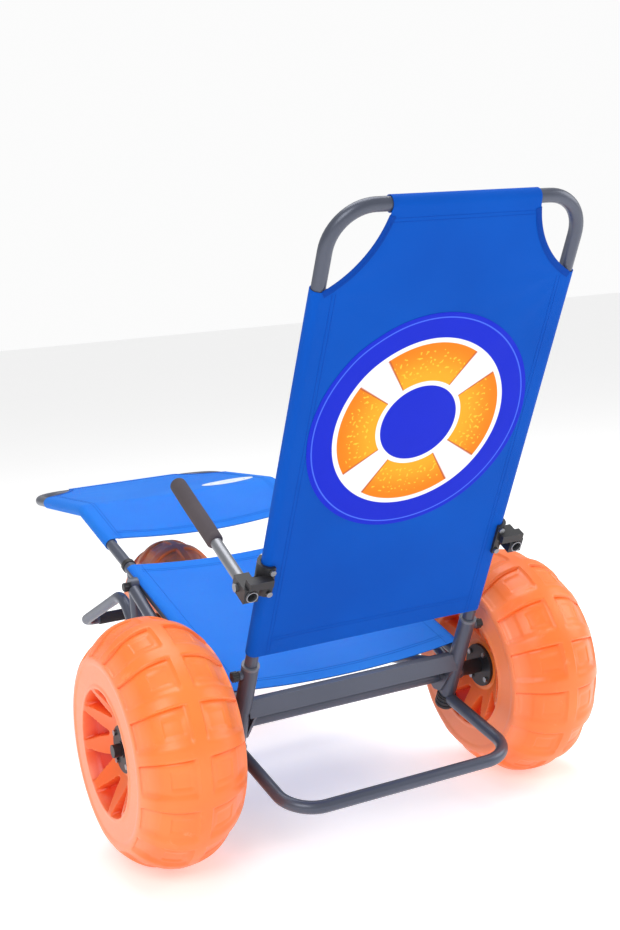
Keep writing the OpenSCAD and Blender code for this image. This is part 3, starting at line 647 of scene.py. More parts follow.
@dataclass(frozen=True)
class PrintFinish:
    """Film printed over woven cloth; the drawing is laid out from the film's middle, in metres."""

    name: str
    kind: PrintKind
    ground: Colour

    def band(self, m: Material, radius: object, low: float, high: float,
             soft: float = 0.6 * MM) -> bpy.types.NodeSocket:
        """Mask of a ring between two radii."""
        return m.math("MULTIPLY", m.ramp(radius, low - soft, low + soft),
                      m.ramp(radius, high + soft, high - soft))

    def life_ring(self, m: Material, radius: object, turn: object,
                  colour: object) -> bpy.types.NodeSocket:
        """Draws a banded orange ring with pale rims, and a thin line near the film's edge.

        Args:
            m: the material.
            radius: distance from the film's middle.
            turn: angle round the film's middle.
            colour: what lies under it.

        Returns:
            The colour.
        """
        hoop, banded = (0.076, 0.144), (0.905, 0.925)
        quarter = m.math("ABSOLUTE", m.math("SINE", m.math("MULTIPLY", turn, 2.0)))
        orange = m.mix(m.ramp(radius, 0.080, 0.142), linear(255, 168, 34), linear(247, 128, 14))
        bands = m.ramp(quarter, *banded)
        spots = m.math("MULTIPLY", m.ramp(m.noise(m.where(uv=True), 190.0, 0), 0.66, 0.69),
                       self.band(m, radius, 0.086, 0.132))
        orange = m.mix(m.math("MULTIPLY", spots, 0.8), orange, linear(255, 205, 60))
        colour = m.mix(self.band(m, radius, 0.068, 0.152), colour, linear(250, 250, 250))
        colour = m.mix(self.band(m, radius, *hoop), colour,
                       m.mix(bands, orange, linear(245, 246, 250)))
        seam = m.math("MULTIPLY", self.band(m, radius, *hoop),
                      self.band(m, quarter, *banded, 0.01))
        colour = m.mix(seam, colour, linear(190, 90, 20))
        return m.mix(self.band(m, radius, 0.1865, 0.1885), colour, linear(70, 110, 240))

    def plain_ring(self, m: Material, radius: object, colour: object) -> bpy.types.NodeSocket:
        """Draws a pale spot inside a thin ring."""
        colour = m.mix(self.band(m, radius, 0.040, 0.0425), colour, linear(120, 170, 225))
        return m.mix(self.band(m, radius, 0.0, 0.022), colour, linear(205, 220, 238))

    def build(self) -> bpy.types.Material:
        """Wires the material.

        Returns:
            The material.
        """
        m = Material(self.name)
        parts = m.add("ShaderNodeSeparateXYZ")
        m.put(parts.inputs[0], m.where(uv=True))
        x, y = parts.outputs[0], parts.outputs[1]
        if self.kind is PrintKind.PLAIN_RING:
            y = m.math("MULTIPLY", y, 1.8)
        square = m.math("ADD", m.math("MULTIPLY", x, x), m.math("MULTIPLY", y, y))
        radius = m.math("SQRT", square)
        clouds = m.effect(Clouds(), Scale=14.0, Amount=0.6)
        ground = linear(*self.ground)
        colour = m.mix(clouds, tuple(0.86 * v for v in ground[:3]) + (1,), ground)
        if self.kind is PrintKind.LIFE_RING:
            colour = self.life_ring(m, radius, m.math("ARCTAN2", y, x), colour)
        else:
            colour = self.plain_ring(m, radius, colour)
        weave = m.effect(Weave(), Pitch=WEAVE_PITCH)
        rough = m.math("MULTIPLY_ADD", weave, -0.1, 0.52)
        m.set(Base_Color=colour, Roughness=rough, Normal=m.bump(weave, 0.0001, 0.5),
              Specular_IOR_Level=0.15)
        return m.material


# ---------------------------------------------------------------- cloth


@dataclass
class Path:
    """A line in the plane of symmetry that a cloth follows: straight, one bend, straight."""

    start: tuple[float, float]
    heading: float
    side: int = 1
    bend_at: float = 1e9
    bend_radius: float = KNEE_RADIUS
    bend_turn: float = 0.0

    def at(self, v: Points, x: Points, height: Points) -> Points:
        """Points at a run v, a place x across and a height over the line.

        Args:
            v: run along the line from its start.
            x: place across.
            height: how far above the line, on the side that the cloth is.

        Returns:
            The points, one row each.
        """
        v, x, height = np.broadcast_arrays(v, x, height)
        arc = self.bend_radius * self.bend_turn
        turn = -np.clip((v - self.bend_at) / max(self.bend_radius, 1e-9), 0, self.bend_turn)
        flat = np.minimum(v, self.bend_at)
        past = np.maximum(v - self.bend_at - arc, 0)
        along0 = np.array([math.cos(self.heading), math.sin(self.heading)])
        up0 = np.array([-along0[1], along0[0]])
        angle = self.heading + turn
        along = np.stack([np.cos(angle), np.sin(angle)], -1)
        up = np.stack([-np.sin(angle), np.cos(angle)], -1)
        line = np.array(self.start) + flat[..., None] * along0
        line = line + self.bend_radius * (up - up0) * (turn != 0)[..., None]
        line = line + past[..., None] * along
        flat_point = line + self.side * height[..., None] * up
        return np.stack([x, flat_point[..., 0], flat_point[..., 1]], -1)


def grid_sheet(name: str, columns: int, rows: int, place: Callable[[Points, Points], Layout],
               thickness: float = CLOTH_T) -> bpy.types.Object:
    """Makes a sheet from a grid whose points are laid out by a function.

    Args:
        name: the piece's name.
        columns: faces across.
        rows: faces along.
        place: takes column and row numbers and returns points, flat coordinates and which
            points to keep.
        thickness: the cloth's.

    Returns:
        The sheet, with its flat coordinates in metres as its UV map.
    """
    deselect()
    bpy.ops.mesh.primitive_grid_add(x_subdivisions=columns, y_subdivisions=rows, size=2,
                                    calc_uvs=True)
    obj = newest(name)
    at = coordinates(obj)
    i = np.unique(np.round(at[:, 0], 5), return_inverse=True)[1].ravel()
    j = np.unique(np.round(at[:, 1], 5), return_inverse=True)[1].ravel()
    points, flat, keep = place(i * columns / i.max(), j * rows / j.max())
    move_points(obj, points)
    loops = np.zeros(len(obj.data.loops), np.int32)
    obj.data.loops.foreach_get("vertex_index", loops)
    obj.data.uv_layers.active.data.foreach_set("uv", flat[loops].ravel())
    if not keep.all():
        choose(obj)
        bpy.ops.object.mode_set(mode="EDIT")
        bpy.ops.mesh.select_mode(type="VERT")
        bpy.ops.mesh.select_all(action="DESELECT")
        bpy.ops.object.mode_set(mode="OBJECT")
        obj.data.vertices.foreach_set("select", ~keep)
        bpy.ops.object.mode_set(mode="EDIT")
        bpy.ops.mesh.delete(type="VERT")
        bpy.ops.object.mode_set(mode="OBJECT")
    if thickness:
        apply_modifier(obj, "SOLIDIFY", thickness=thickness, offset=0, use_even_offset=True)
    return smooth(obj, 50)


@dataclass
class Stitching:
    """Rows of single thread stitches, each a small spindle lying in the cloth."""

    name: str
    length: float = 3.3 * MM
    pitch: float = 4.7 * MM
    radius: float = 0.5 * MM

    def build(self, lines: list[Points]) -> bpy.types.Object:
        """Makes one piece of all the stitches along the lines.

        Args:
            lines: each a row of close points that the stitches follow.

        Returns:
            The piece.
        """
        deselect()
        bpy.ops.mesh.primitive_uv_sphere_add(segments=6, ring_count=4, radius=self.radius)
        pattern = newest(self.name)
        pattern.data.transform(Matrix.Diagonal((1, 1, self.length / 2 / self.radius, 1)))
        base = coordinates(pattern)
        faces = [tuple(p.vertices) for p in pattern.data.polygons]
        all_points, all_faces = [], []
        for line in lines:
            gaps = np.linalg.norm(np.diff(line, axis=0), axis=1)
            run = np.concatenate([[0], np.cumsum(gaps)])
            for middle in np.arange(self.pitch / 2, run[-1], self.pitch):
                ends = [np.array([np.interp(middle + d, run, line[:, k]) for k in range(3)])
                        for d in (-self.length / 2, self.length / 2)]
                lie = Vector(ends[1] - ends[0]).normalized().to_track_quat("Z", "Y").to_matrix()
                count = len(all_points) * len(base)
                all_points.append(base @ np.array(lie).T + (ends[0] + ends[1]) / 2)
                all_faces.extend(tuple(v + count for v in f) for f in faces)
        mesh = bpy.data.meshes.new(self.name)
        mesh.from_pydata(np.concatenate(all_points).tolist(), [], all_faces)
        old = pattern.data
        pattern.data = mesh
        bpy.data.meshes.remove(old)
        return smooth(pattern, 60)


@dataclass
class SleevedCloth:
    """A panel with a sleeve round each side tube and round the end tube.

    Two round cut-outs lie between the side sleeves and the end sleeve.
    """

    name: str
    body: str
    slot: str
    node: str
    path: Path
    half: float
    start: float
    side_end: float
    end_tube: float
    cut_x: float
    cut_v: float
    cut_r: float
    sag: float
    hem: float
    hem_sag: float = 0.0
    wrap_turn: float = math.radians(328)
    panel_columns: int = 72
    wrap_columns: int = 26
    body_rows: int = 110
    cut_rows: int = 34
    extras: list[bpy.types.Object] = field(default_factory=list)

    def edge(self, v: Points) -> Points:
        """Half width of the panel at a run v.

        Args:
            v: run along the cloth's line.

        Returns:
            The half widths.
        """
        rise = np.clip(v, self.side_end, self.end_tube) - self.cut_v
        return np.where(v <= self.side_end + 1e-9, self.half,
                        self.cut_x - np.sqrt(np.maximum(self.cut_r**2 - rise**2, 0)))

    def relief(self, x: Points, v: Points) -> Points:
        """Sag and pull lines of the stretched panel, as a drop below its tubes' tangent plane.

        Args:
            x: place across.
            v: run along the cloth's line.

        Returns:
            The drops.
        """
        q = np.clip(np.abs(x) / np.maximum(self.edge(v), 1e-6), 0, 1)
        w = np.clip((v - self.start) / (self.end_tube - self.start), 0, 1)
        calm = (1 - q**4) * (1 - step(v, self.end_tube - 0.05, self.end_tube))
        drop = self.sag * (1 - q**2) * np.sin(math.pi * np.clip(w, 0, 1)) ** 0.8
        drop += self.hem_sag * (1 - q**2) * (1 - step(v, self.start, self.start + 0.2))
        pull = np.zeros_like(drop)
        for side in (-1, 1):
            for at, height, waves, shift, fade in ((self.side_end, 0.9 * MM, 11, 0.6 * side, 0.16),
                                                   (self.start, 0.8 * MM, 8, side, 0.13)):
                reach = np.hypot(x - side * self.half, v - at)
                turn = np.arctan2(v - at, -side * (x - side * self.half))
                pull += height * np.sin(turn * waves + shift) * np.exp(
                    -(reach / fade) ** 2) * step(reach, 0.0, 0.05)
        slow = 0.5 * MM * np.sin(x * 31 + 1.1) * np.sin(v * 17 + 0.4)
        return calm * (drop + pull + slow)

    def on_panel(self, x: Points, v: Points, lift: float = 0.0) -> Points:
        """Points on the panel's middle surface, or a lift above it."""
        return self.path.at(v, x, SLEEVE_R + lift - self.relief(x, v))

    def layout(self, i: Points, j: Points) -> Layout:
        """Places the grid's points: panel, side sleeves and end sleeve.

        Args:
            i: the points' column numbers.
            j: the points' row numbers.

        Returns:
            The points, their flat coordinates and which to keep.
        """
        wc, pc, br, cr = self.wrap_columns, self.panel_columns, self.body_rows, self.cut_rows
        q = np.clip((i - wc) / pc * 2 - 1, -1, 1)
        side = np.where(i < wc, -1.0, 1.0)
        over = np.maximum(wc - i, 0) + np.maximum(i - wc - pc, 0)
        phi = over / wc * self.wrap_turn
        beyond = (self.end_tube - self.side_end) * np.clip((j - br) / cr, 0, 1)
        v = np.where(j <= br, self.start + (self.side_end - self.start) * j / br,
                     self.side_end + beyond)
        psi = np.maximum(j - br - cr, 0) / self.wrap_columns * self.wrap_turn
        x = q * self.edge(v)
        sunk = np.where(over + psi > 0, 0, self.relief(x, v))
        points = self.path.at(v + SLEEVE_R * np.sin(psi), x + side * SLEEVE_R * np.sin(phi),
                              SLEEVE_R * np.cos(phi) * np.cos(psi) - sunk)
        flat = np.stack([x + side * SLEEVE_R * phi, v + SLEEVE_R * psi], -1)
        return points, flat, (over == 0) | (j <= br)

    def end_half(self) -> float:
        """Half width of the panel where it meets the end sleeve."""
        return float(self.edge(np.array([self.end_tube]))[0])

    def hem_strip(self, material: bpy.types.Material) -> bpy.types.Object:
        """The folded hem, which lies inside the panel's free edge.

        Args:
            material: its material.

        Returns:
            The strip.
        """
        inset = self.half - 15 * MM

        def lay(i: Points, j: Points) -> Layout:
            """A flat strip under the panel.

            Args:
                i: the points' column numbers.
                j: the points' row numbers.

            Returns:
                The points, their flat coordinates and which to keep.
            """
            x = (i / 60 * 2 - 1) * inset
            v = self.start + 1.0 * MM + j / 4 * self.hem
            points = self.on_panel(x, v, -HEM_DEPTH)
            return points, np.stack([x, v], -1), np.ones(len(i), bool)

        strip = grid_sheet(self.name + "_hem", 60, 4, lay, HEM_T)
        dress(strip, material)
        return strip

    def cut_turn(self, v: float) -> float:
        """Angle on a cut-out's circle at the run v."""
        return math.asin((v - self.cut_v) / self.cut_r)

    def binding(self, side: int, word: str, material: bpy.types.Material) -> bpy.types.Object:
        """Tape folded over one cut-out's edge.

        Args:
            side: -1 for the left, 1 for the right.
            word: that side, for the name.
            material: its material.

        Returns:
            The tape.
        """
        low = self.cut_turn(self.side_end)
        high = self.cut_turn(self.end_tube - 12 * MM)
        fold = np.array([(9, 0.95), (5, 1.05), (1, 1.1), (-0.7, 0.75), (-1.1, 0),
                         (-0.7, -0.75), (1, -1.1), (5, -1.05), (9, -0.95)])

        def lay(i: Points, j: Points) -> Layout:
            """A folded band along the arc.

            Args:
                i: the points' column numbers.
                j: the points' row numbers.

            Returns:
                The points, their flat coordinates and which to keep.
            """
            turn = low + (high - low) * i / 48
            inward, lift = (np.interp(j, np.arange(9), fold[:, k]) * MM for k in (0, 1))
            radius = self.cut_r + inward
            x = side * (self.cut_x - radius * np.cos(turn))
            v = self.cut_v + radius * np.sin(turn)
            points = self.on_panel(side * np.minimum(np.abs(x), self.half), v, lift)
            return points, np.stack([turn * self.cut_r, inward + lift], -1), np.ones(len(i), bool)

        tape = grid_sheet(f"{self.name}_binding_{word}", 48, 8, lay, 0.7 * MM)
        dress(tape, material)
        return tape

    def stitch_lines(self) -> list[Points]:
        """Two rows along each sleeve and the hem, one round each cut-out.

        Returns:
            Rows of close points.
        """
        lines = []
        insets, close = (17 * MM, 23 * MM), 2 * MM
        for side in (-1, 1):
            for inset in insets:
                v = np.arange(self.start + 3 * MM, self.side_end - 4 * MM, close)
                lines.append(self.on_panel(side * (self.half - inset) + 0 * v, v, STITCH_LIFT))
            low = self.cut_turn(self.side_end) + 0.05
            turn = np.linspace(low, self.cut_turn(self.end_tube - 22 * MM), 90)
            radius = self.cut_r + STITCH_ROWS
            x = side * (self.cut_x - radius * np.cos(turn))
            v = self.cut_v + radius * np.sin(turn)
            lines.append(self.on_panel(x, v, STITCH_LIFT + 0.9 * MM))
        x = np.arange(-self.half + 20 * MM, self.half - 20 * MM, close)
        for v0 in (self.start + self.hem, self.start + self.hem - STITCH_ROWS):
            lines.append(self.on_panel(x, v0 + 0 * x, STITCH_LIFT))
        reach = self.end_half() - 4 * MM
        x = np.arange(-reach, reach, close)
        for down in insets:
            lines.append(self.on_panel(x, self.end_tube - down + 0 * x, STITCH_LIFT))
        return lines

    def build(self, cloth: bpy.types.Material, trim: bpy.types.Material, thread: bpy.types.Material,
              rests_on: list[str]) -> bpy.types.Object:
        """Makes the cloth with its hem, bindings and stitching.

        Args:
            cloth: the panel's material.
            trim: the hem's and bindings' material.
            thread: the stitches' material.
            rests_on: the nodes that hold the cloth; not used.

        Returns:
            The cloth.
        """
        sheet = grid_sheet(self.name, self.panel_columns + 2 * self.wrap_columns,
                           self.body_rows + self.cut_rows + self.wrap_columns, self.layout)
        dress(sheet, cloth)
        stitches = Stitching(self.name + "_stitches").build(self.stitch_lines())
        dress(stitches, thread)
        self.extras = [self.hem_strip(trim)]
        self.extras += [self.binding(side, word, trim) for side, word in SIDES]
        self.extras.append(stitches)
        finish_piece(sheet, self.body, (self.node,))
        for extra in self.extras:
            finish_piece(extra, self.body)
        return sheet


@dataclass
class SeatCloth:
    """The sling between the seat rails, held at each side by a cord in its edge."""

    path: Path
    half: float = 0.222
    start: float = -0.4991
    end: float = -0.016
    sag: float = 0.018
    radius: float = 13.9 * MM
    wrap_to: float = math.radians(50)
    hem: float = 0.03
    side_columns: int = 8
    sling_columns: int = 64
    rows: int = 90
    seam: float = 0.93

    def drop(self, q: Points, v: Points) -> Points:
        """How far the sling hangs below the rails' tops.

        Args:
            q: share of the half width, -1 to 1.
            v: run along the cloth's line.

        Returns:
            The drops.
        """
        w = np.clip((v - self.start) / (self.end - self.start), 0, 1)
        slack = 1 - 0.12 * np.abs(2 * w - 1) ** 3
        ripple = 0.5 * MM * np.sin(v * 60 + 2 * q) * q**2 * (1 - q**6)
        return self.sag * (1 - q**2) * slack + ripple

    def surface(self, q: Points, v: Points, lift: float = 0.0) -> Points:
        """Points of the sling at a share q of its half width."""
        return self.path.at(v, q * self.half, self.radius + lift - self.drop(q, v))

    def layout(self, i: Points, j: Points) -> Layout:
        """Places the grid's points: the sling and its edges over the rails.

        Args:
            i: the points' column numbers.
            j: the points' row numbers.

        Returns:
            The points, their flat coordinates and which to keep.
        """
        sc, pc = self.side_columns, self.sling_columns
        q = np.clip((i - sc) / pc * 2 - 1, -1, 1)
        over = np.maximum(sc - i, 0) + np.maximum(i - sc - pc, 0)
        side = np.where(i < sc, -1.0, 1.0)
        phi = over / sc * self.wrap_to
        v = self.start + (self.end - self.start) * j / self.rows
        height = np.where(over > 0, self.radius * np.cos(phi), self.radius - self.drop(q, v))
        points = self.path.at(v, q * self.half + side * self.radius * np.sin(phi), height)
        flat = np.stack([q * self.half + side * self.radius * phi, v], -1)
        return points, flat, np.ones(len(i), bool)

    def hem_strip(self, name: str, at: float, material: bpy.types.Material) -> bpy.types.Object:
        """A folded hem under one end of the sling.

        Args:
            name: its name.
            at: the strip's start along the line.
            material: its material.

        Returns:
            The strip.
        """
        def lay(i: Points, j: Points) -> Layout:
            """A strip just under the sling.

            Args:
                i: the points' column numbers.
                j: the points' row numbers.

            Returns:
                The points, their flat coordinates and which to keep.
            """
            q = (i / 60 * 2 - 1) * self.seam
            v = at + j / 4 * self.hem
            points = self.surface(q, v, -HEM_DEPTH)
            return points, np.stack([q * self.half, v], -1), np.ones(len(i), bool)

        strip = grid_sheet(name, 60, 4, lay, HEM_T)
        dress(strip, material)
        return strip

    def edge_cord(self, side: int, word: str, material: bpy.types.Material) -> bpy.types.Object:
        """The rounded welt that holds the sling's edge on its rail.

        Args:
            side: -1 for the left, 1 for the right.
            word: that side, for the name.
            material: its material.

        Returns:
            The cord.
        """
        ring, phi, inset = 2.0 * MM, self.wrap_to + 0.03, 1 * MM

        def lay(i: Points, j: Points) -> Layout:
            """A thin tube along the edge.

            Args:
                i: the points' column numbers.
                j: the points' row numbers.

            Returns:
                The points, their flat coordinates and which to keep.
            """
            turn = i / 12 * 2 * math.pi
            v = self.start + inset + (self.end - self.start - 2 * inset) * j / 60
            x = side * (self.half + self.radius * math.sin(phi) + ring * np.cos(turn))
            points = self.path.at(v, x, self.radius * math.cos(phi) + ring * np.sin(turn))
            return points, np.stack([ring * turn, v], -1), np.ones(len(i), bool)

        cord = grid_sheet(f"seat_edge_{word}", 12, 60, lay, 0)
        tidy_shell(cord)
        choose(cord)
        bpy.ops.object.mode_set(mode="EDIT")
        bpy.ops.mesh.select_all(action="DESELECT")
        bpy.ops.mesh.select_mode(type="EDGE")
        bpy.ops.mesh.select_non_manifold(extend=False)
        bpy.ops.mesh.edge_face_add()
        bpy.ops.mesh.select_all(action="SELECT")
        bpy.ops.mesh.normals_make_consistent(inside=False)
        bpy.ops.object.mode_set(mode="OBJECT")
        dress(smooth(cord, 60), material)
        return cord

    def stitch_lines(self) -> list[Points]:
        """Two rows along each hem and one along each rail.

        Returns:
            Rows of close points.
        """
        q = np.linspace(-0.96, 0.96, 220)
        rear, front = self.start + self.hem, self.end - self.hem
        lines = [self.surface(q, v0 + 0 * q, STITCH_LIFT)
                 for v0 in (rear, rear - STITCH_ROWS, front, front + STITCH_ROWS)]
        v = np.arange(self.start + 3 * MM, self.end - 3 * MM, 2 * MM)
        lines += [self.surface(side * self.seam + 0 * v, v, STITCH_LIFT) for side in (-1, 1)]
        return lines

    def build(self, cloth: bpy.types.Material, trim: bpy.types.Material,
              thread: bpy.types.Material) -> None:
        """Makes the sling, its hems, edges and stitching.

        Args:
            cloth: the sling's material.
            trim: the hems' and edges' material.
            thread: the stitches' material.
        """
        sheet = grid_sheet("seat_cloth_panel", self.sling_columns + 2 * self.side_columns,
                           self.rows, self.layout)
        dress(sheet, cloth)
        stitches = Stitching("seat_cloth_stitches").build(self.stitch_lines())
        dress(stitches, thread)
        extras = [self.hem_strip("seat_hem_rear", self.start + 1 * MM, trim),
                  self.hem_strip("seat_hem_front", self.end - self.hem - 1 * MM, trim)]
        extras += [self.edge_cord(side, word, trim) for side, word in SIDES]
        extras.append(stitches)
        finish_piece(sheet, "chassis", ("seat_fabric",))
        for extra in extras:
            finish_piece(extra, "chassis")


@dataclass
class Film:
    """A printed film on a sleeved cloth: an ellipse that follows the cloth's surface."""

    name: str
    node: str
    cloth: SleevedCloth
    at: tuple[float, float]
    radii: tuple[float, float]
    slot: str
    lift: float = 1.15 * MM
    thickness: float = 0.35 * MM

    def build(self, material: bpy.types.Material) -> bpy.types.Object:
        """Makes the film as a disc of rings laid on the cloth.

        Args:
            material: the print.

        Returns:
            The film.
        """
        rings, spokes = 40, 128

        def lay(i: Points, j: Points) -> Layout:
            """Rings round the film's middle.

            Args:
                i: the points' column numbers.
                j: the points' row numbers.

            Returns:
                The points, their flat coordinates and which to keep.
            """
            turn = i / spokes * 2 * math.pi
            share = j / rings
            x = self.radii[0] * share * np.cos(turn)
            v = self.radii[1] * share * np.sin(turn)
            points = self.cloth.on_panel(self.at[0] + x, self.at[1] + v, self.lift)
            return points, np.stack([x, v], -1), np.ones(len(i), bool)

        film = grid_sheet(self.name, spokes, rings, lay, 0)
        choose(film)
        bpy.ops.object.mode_set(mode="EDIT")
        bpy.ops.mesh.select_all(action="SELECT")
        bpy.ops.mesh.remove_doubles(threshold=1e-5)
        bpy.ops.object.mode_set(mode="OBJECT")
        x, v = (np.array([place]) for place in self.at)
        outwards = Vector(self.cloth.on_panel(x, v, 1.0)[0]) - Vector(coordinates(film)[0])
        if film.data.polygons[len(film.data.polygons) // 2].normal.dot(outwards) < 0:
            film.data.flip_normals()
        apply_modifier(film, "SOLIDIFY", thickness=self.thickness, offset=-1)
        smooth(film, 50)
        dress(film, material)
        finish_piece(film, self.cloth.body, (self.node,))
        return film


# ---------------------------------------------------------------- wheels


@dataclass
class Wheel:
    """A wide blow-moulded wheel: smooth middle band, cells between cross lugs, pocketed dish."""

    name: str
    node: str
    body: str
    centre: tuple[float, float, float]
    radius: float
    half: float
    shoulder: float
    hub_half: float
    dish_r: float = 0.105
    hub_r: float = 0.048
    bore: float = 0.0203
    power: float = 2.35
    lugs: int = 15
    pockets: int = 9
    phase: float = 0.0
    shares: tuple[float, ...] = (0, 0.05, 0.10, 0.13, 0.16, 0.22, 0.30, 0.38, 0.44, 0.47, 0.50,
                                 0.56, 0.61, 0.66, 0.71, 0.77, 0.84, 0.90, 0.935, 0.952, 0.966,
                                 0.982)

    def outline(self) -> Points:
        """The closed profile, as rows of place along the axle and radius, with eased corners.

        Returns:
            The profile.
        """
        side = [(self.half, self.dish_r), (self.hub_half + 0.002, self.hub_r + 0.004),
                (self.hub_half, self.hub_r), (self.hub_half, self.bore)]
        u = np.linspace(1, -1, 61)
        tread = [(t * self.half, self.radius - self.shoulder * abs(t) ** self.power) for t in u]
        corners = [(x, r) for x, r in reversed(side)] + tread + [(-x, r) for x, r in side]
        dense = []
        for (x0, r0), (x1, r1) in zip(corners, corners[1:]):
            count = max(1, round(math.hypot(x1 - x0, r1 - r0) / (2.2 * MM)))
            dense += [(x0 + (x1 - x0) * k / count, r0 + (r1 - r0) * k / count)
                      for k in range(count)]
        line = np.array(dense + [corners[-1]])
        still = line.copy()
        for _ in range(7):
            line[1:-1] = 0.25 * line[:-2] + 0.5 * line[1:-1] + 0.25 * line[2:]
        keep = step(still[:, 1], self.hub_r + 0.004, self.hub_r)[:, None]
        line = still * keep + line * (1 - keep)
        bore = np.linspace(-self.hub_half, self.hub_half, 8)[1:-1]
        return np.concatenate([line, np.stack([bore, 0 * bore + self.bore], -1)])

    def tread(self, u: Points, share: Points) -> Points:
        """How far the tread's points sink towards the axle: cells between lugs, and grooves.

        Args:
            u: distance from the middle, as a share of the half width.
            share: place between one lug and the next, 0 to 1.

        Returns:
            The depths.
        """
        rise = step(share, 0.56, 0.71) * (1 - step(share, 0.945, 0.968))
        crease = np.exp(-((share - 0.972) / 0.014) ** 2)
        across = step(u, 0.10, 0.15) * (1 - step(u, 0.93, 0.995))
        cell = (1 - rise) * (4.6 * MM + 2.6 * MM * step(u, 0.5, 0.85))
        inner = step(share, 0.115, 0.15) * (1 - step(share, 0.47, 0.50))
        inner = inner * step(u, 0.195, 0.22) * (1 - step(u, 0.54, 0.565))
        outer = step(u, 0.70, 0.73) * (1 - step(u, 0.86, 0.9)) * (1 - rise)
        groove = np.exp(-((u - 0.150) / 0.012) ** 2) * (1 - 0.6 * rise)
        sunk = cell + 1.9 * MM * inner + 1.3 * MM * outer
        sunk = sunk + 2.2 * MM * crease * step(u, 0.14, 0.2)
        return across * sunk + 0.9 * MM * groove

    def pocket(self, r: Points, turn: Points) -> Points:
        """Mask of the pockets in the dish, 1 at their floors.

        Args:
            r: distance from the axle.
            turn: angle round the axle.

        Returns:
            The mask.
        """
        pitch = 2 * math.pi / self.pockets
        off = np.abs((turn / pitch + 0.5) % 1 - 0.5) * pitch
        wide = math.radians(15.5) * step(r, self.hub_r - 0.012, self.dish_r + 0.01)
        lean = step(wide + math.radians(1.5) - off, 0, math.radians(3.2))
        return lean * step(r, self.hub_r + 0.010, self.hub_r + 0.019) * (
            1 - step(r, self.dish_r - 0.005, self.dish_r + 0.003))

    def relief(self, x: Points, r: Points, share: Points, turn: Points) -> Layout:
        """How each point is pressed into the spun profile.

        Args:
            x: place across.
            r: distance from the axle.
            share: place between one lug and the next, 0 to 1.
            turn: angle round the axle.

        Returns:
            How far each point goes towards the axle, how far along it, and a mask of
            the dish's depth, which the material turns into painted shade.
        """
        u = np.abs(x) / self.half
        rim = self.radius - self.shoulder
        tread = r > rim - 1 * MM
        in_dish = (r < self.dish_r + 4 * MM) & (r > self.hub_r + 1 * MM) & (u > 0.3)
        side_ring = (~tread) & (r > self.dish_r + 4 * MM)
        pocket = self.pocket(r, turn)
        shallow = 1.6 * MM * step(r, self.dish_r + 0.006, self.dish_r + 0.010) * (
            1 - step(r, rim - 0.014, rim - 0.009))
        axial = np.where(in_dish, 20 * MM * pocket, np.where(side_ring, shallow, 0))
        # Mask for the painted shade in the dish: 0.35 over the dish, 1 at the pocket floors.
        depth = np.where(in_dish, 0.35 + 0.65 * pocket, 0)
        return np.where(tread, self.tread(u, share), 0), axial, depth

    def build(self, material: bpy.types.Material) -> bpy.types.Object:
        """Spins the profile and presses the tread and pockets into it.

        Args:
            material: the moulded plastic.

        Returns:
            The wheel.
        """
        line = self.outline()
        steps = self.lugs * len(self.shares)
        deselect()
        bpy.ops.mesh.primitive_circle_add(vertices=len(line), radius=0.1, fill_type="NOTHING")
        wheel = newest(self.name)
        move_points(wheel, np.stack([line[:, 0], -line[:, 1], 0 * line[:, 0]], -1))
        choose(wheel)
        bpy.ops.object.mode_set(mode="EDIT")
        bpy.ops.mesh.select_all(action="SELECT")
        bpy.ops.mesh.spin(steps=steps, angle=2 * math.pi, center=(0, 0, 0), axis=(1, 0, 0))
        bpy.ops.object.mode_set(mode="OBJECT")
        tidy_shell(wheel, 2e-5)
        at = coordinates(wheel)
        x, r = at[:, 0], np.hypot(at[:, 1], at[:, 2])
        number = np.round(np.arctan2(-at[:, 2], -at[:, 1]) / (2 * math.pi) * steps)
        number = number.astype(int) % steps
        share = np.array(self.shares)[number % len(self.shares)]
        turn = (number // len(self.shares) + share) / self.lugs * 2 * math.pi
        sink, axial, depth = self.relief(x, r, share, turn)
        r, x = r - sink, x - np.sign(x) * axial
        turn = turn + self.phase
        cx, cy, cz = self.centre
        move_points(wheel, np.stack([cx + x, cy - r * np.cos(turn), cz - r * np.sin(turn)], -1))
        # Mask of the flat sidewall ring, which the material uses as a painted highlight.
        painted_highlight = step(r, self.radius - self.shoulder * 0.5, self.radius - self.shoulder)
        painted_highlight = painted_highlight * step(r, self.dish_r, self.dish_r + 0.006)
        for key, values in (("dish_shade_depth", depth), ("sidewall_highlight", painted_highlight)):
            layer = wheel.data.attributes.new(key, "FLOAT", "POINT")
            layer.data.foreach_set("value", np.asarray(values, float))
        smooth(wheel, 42)
        dress(wheel, material)
        finish_piece(wheel, self.body, (self.node,))
        return wheel


# ---------------------------------------------------------------- grips


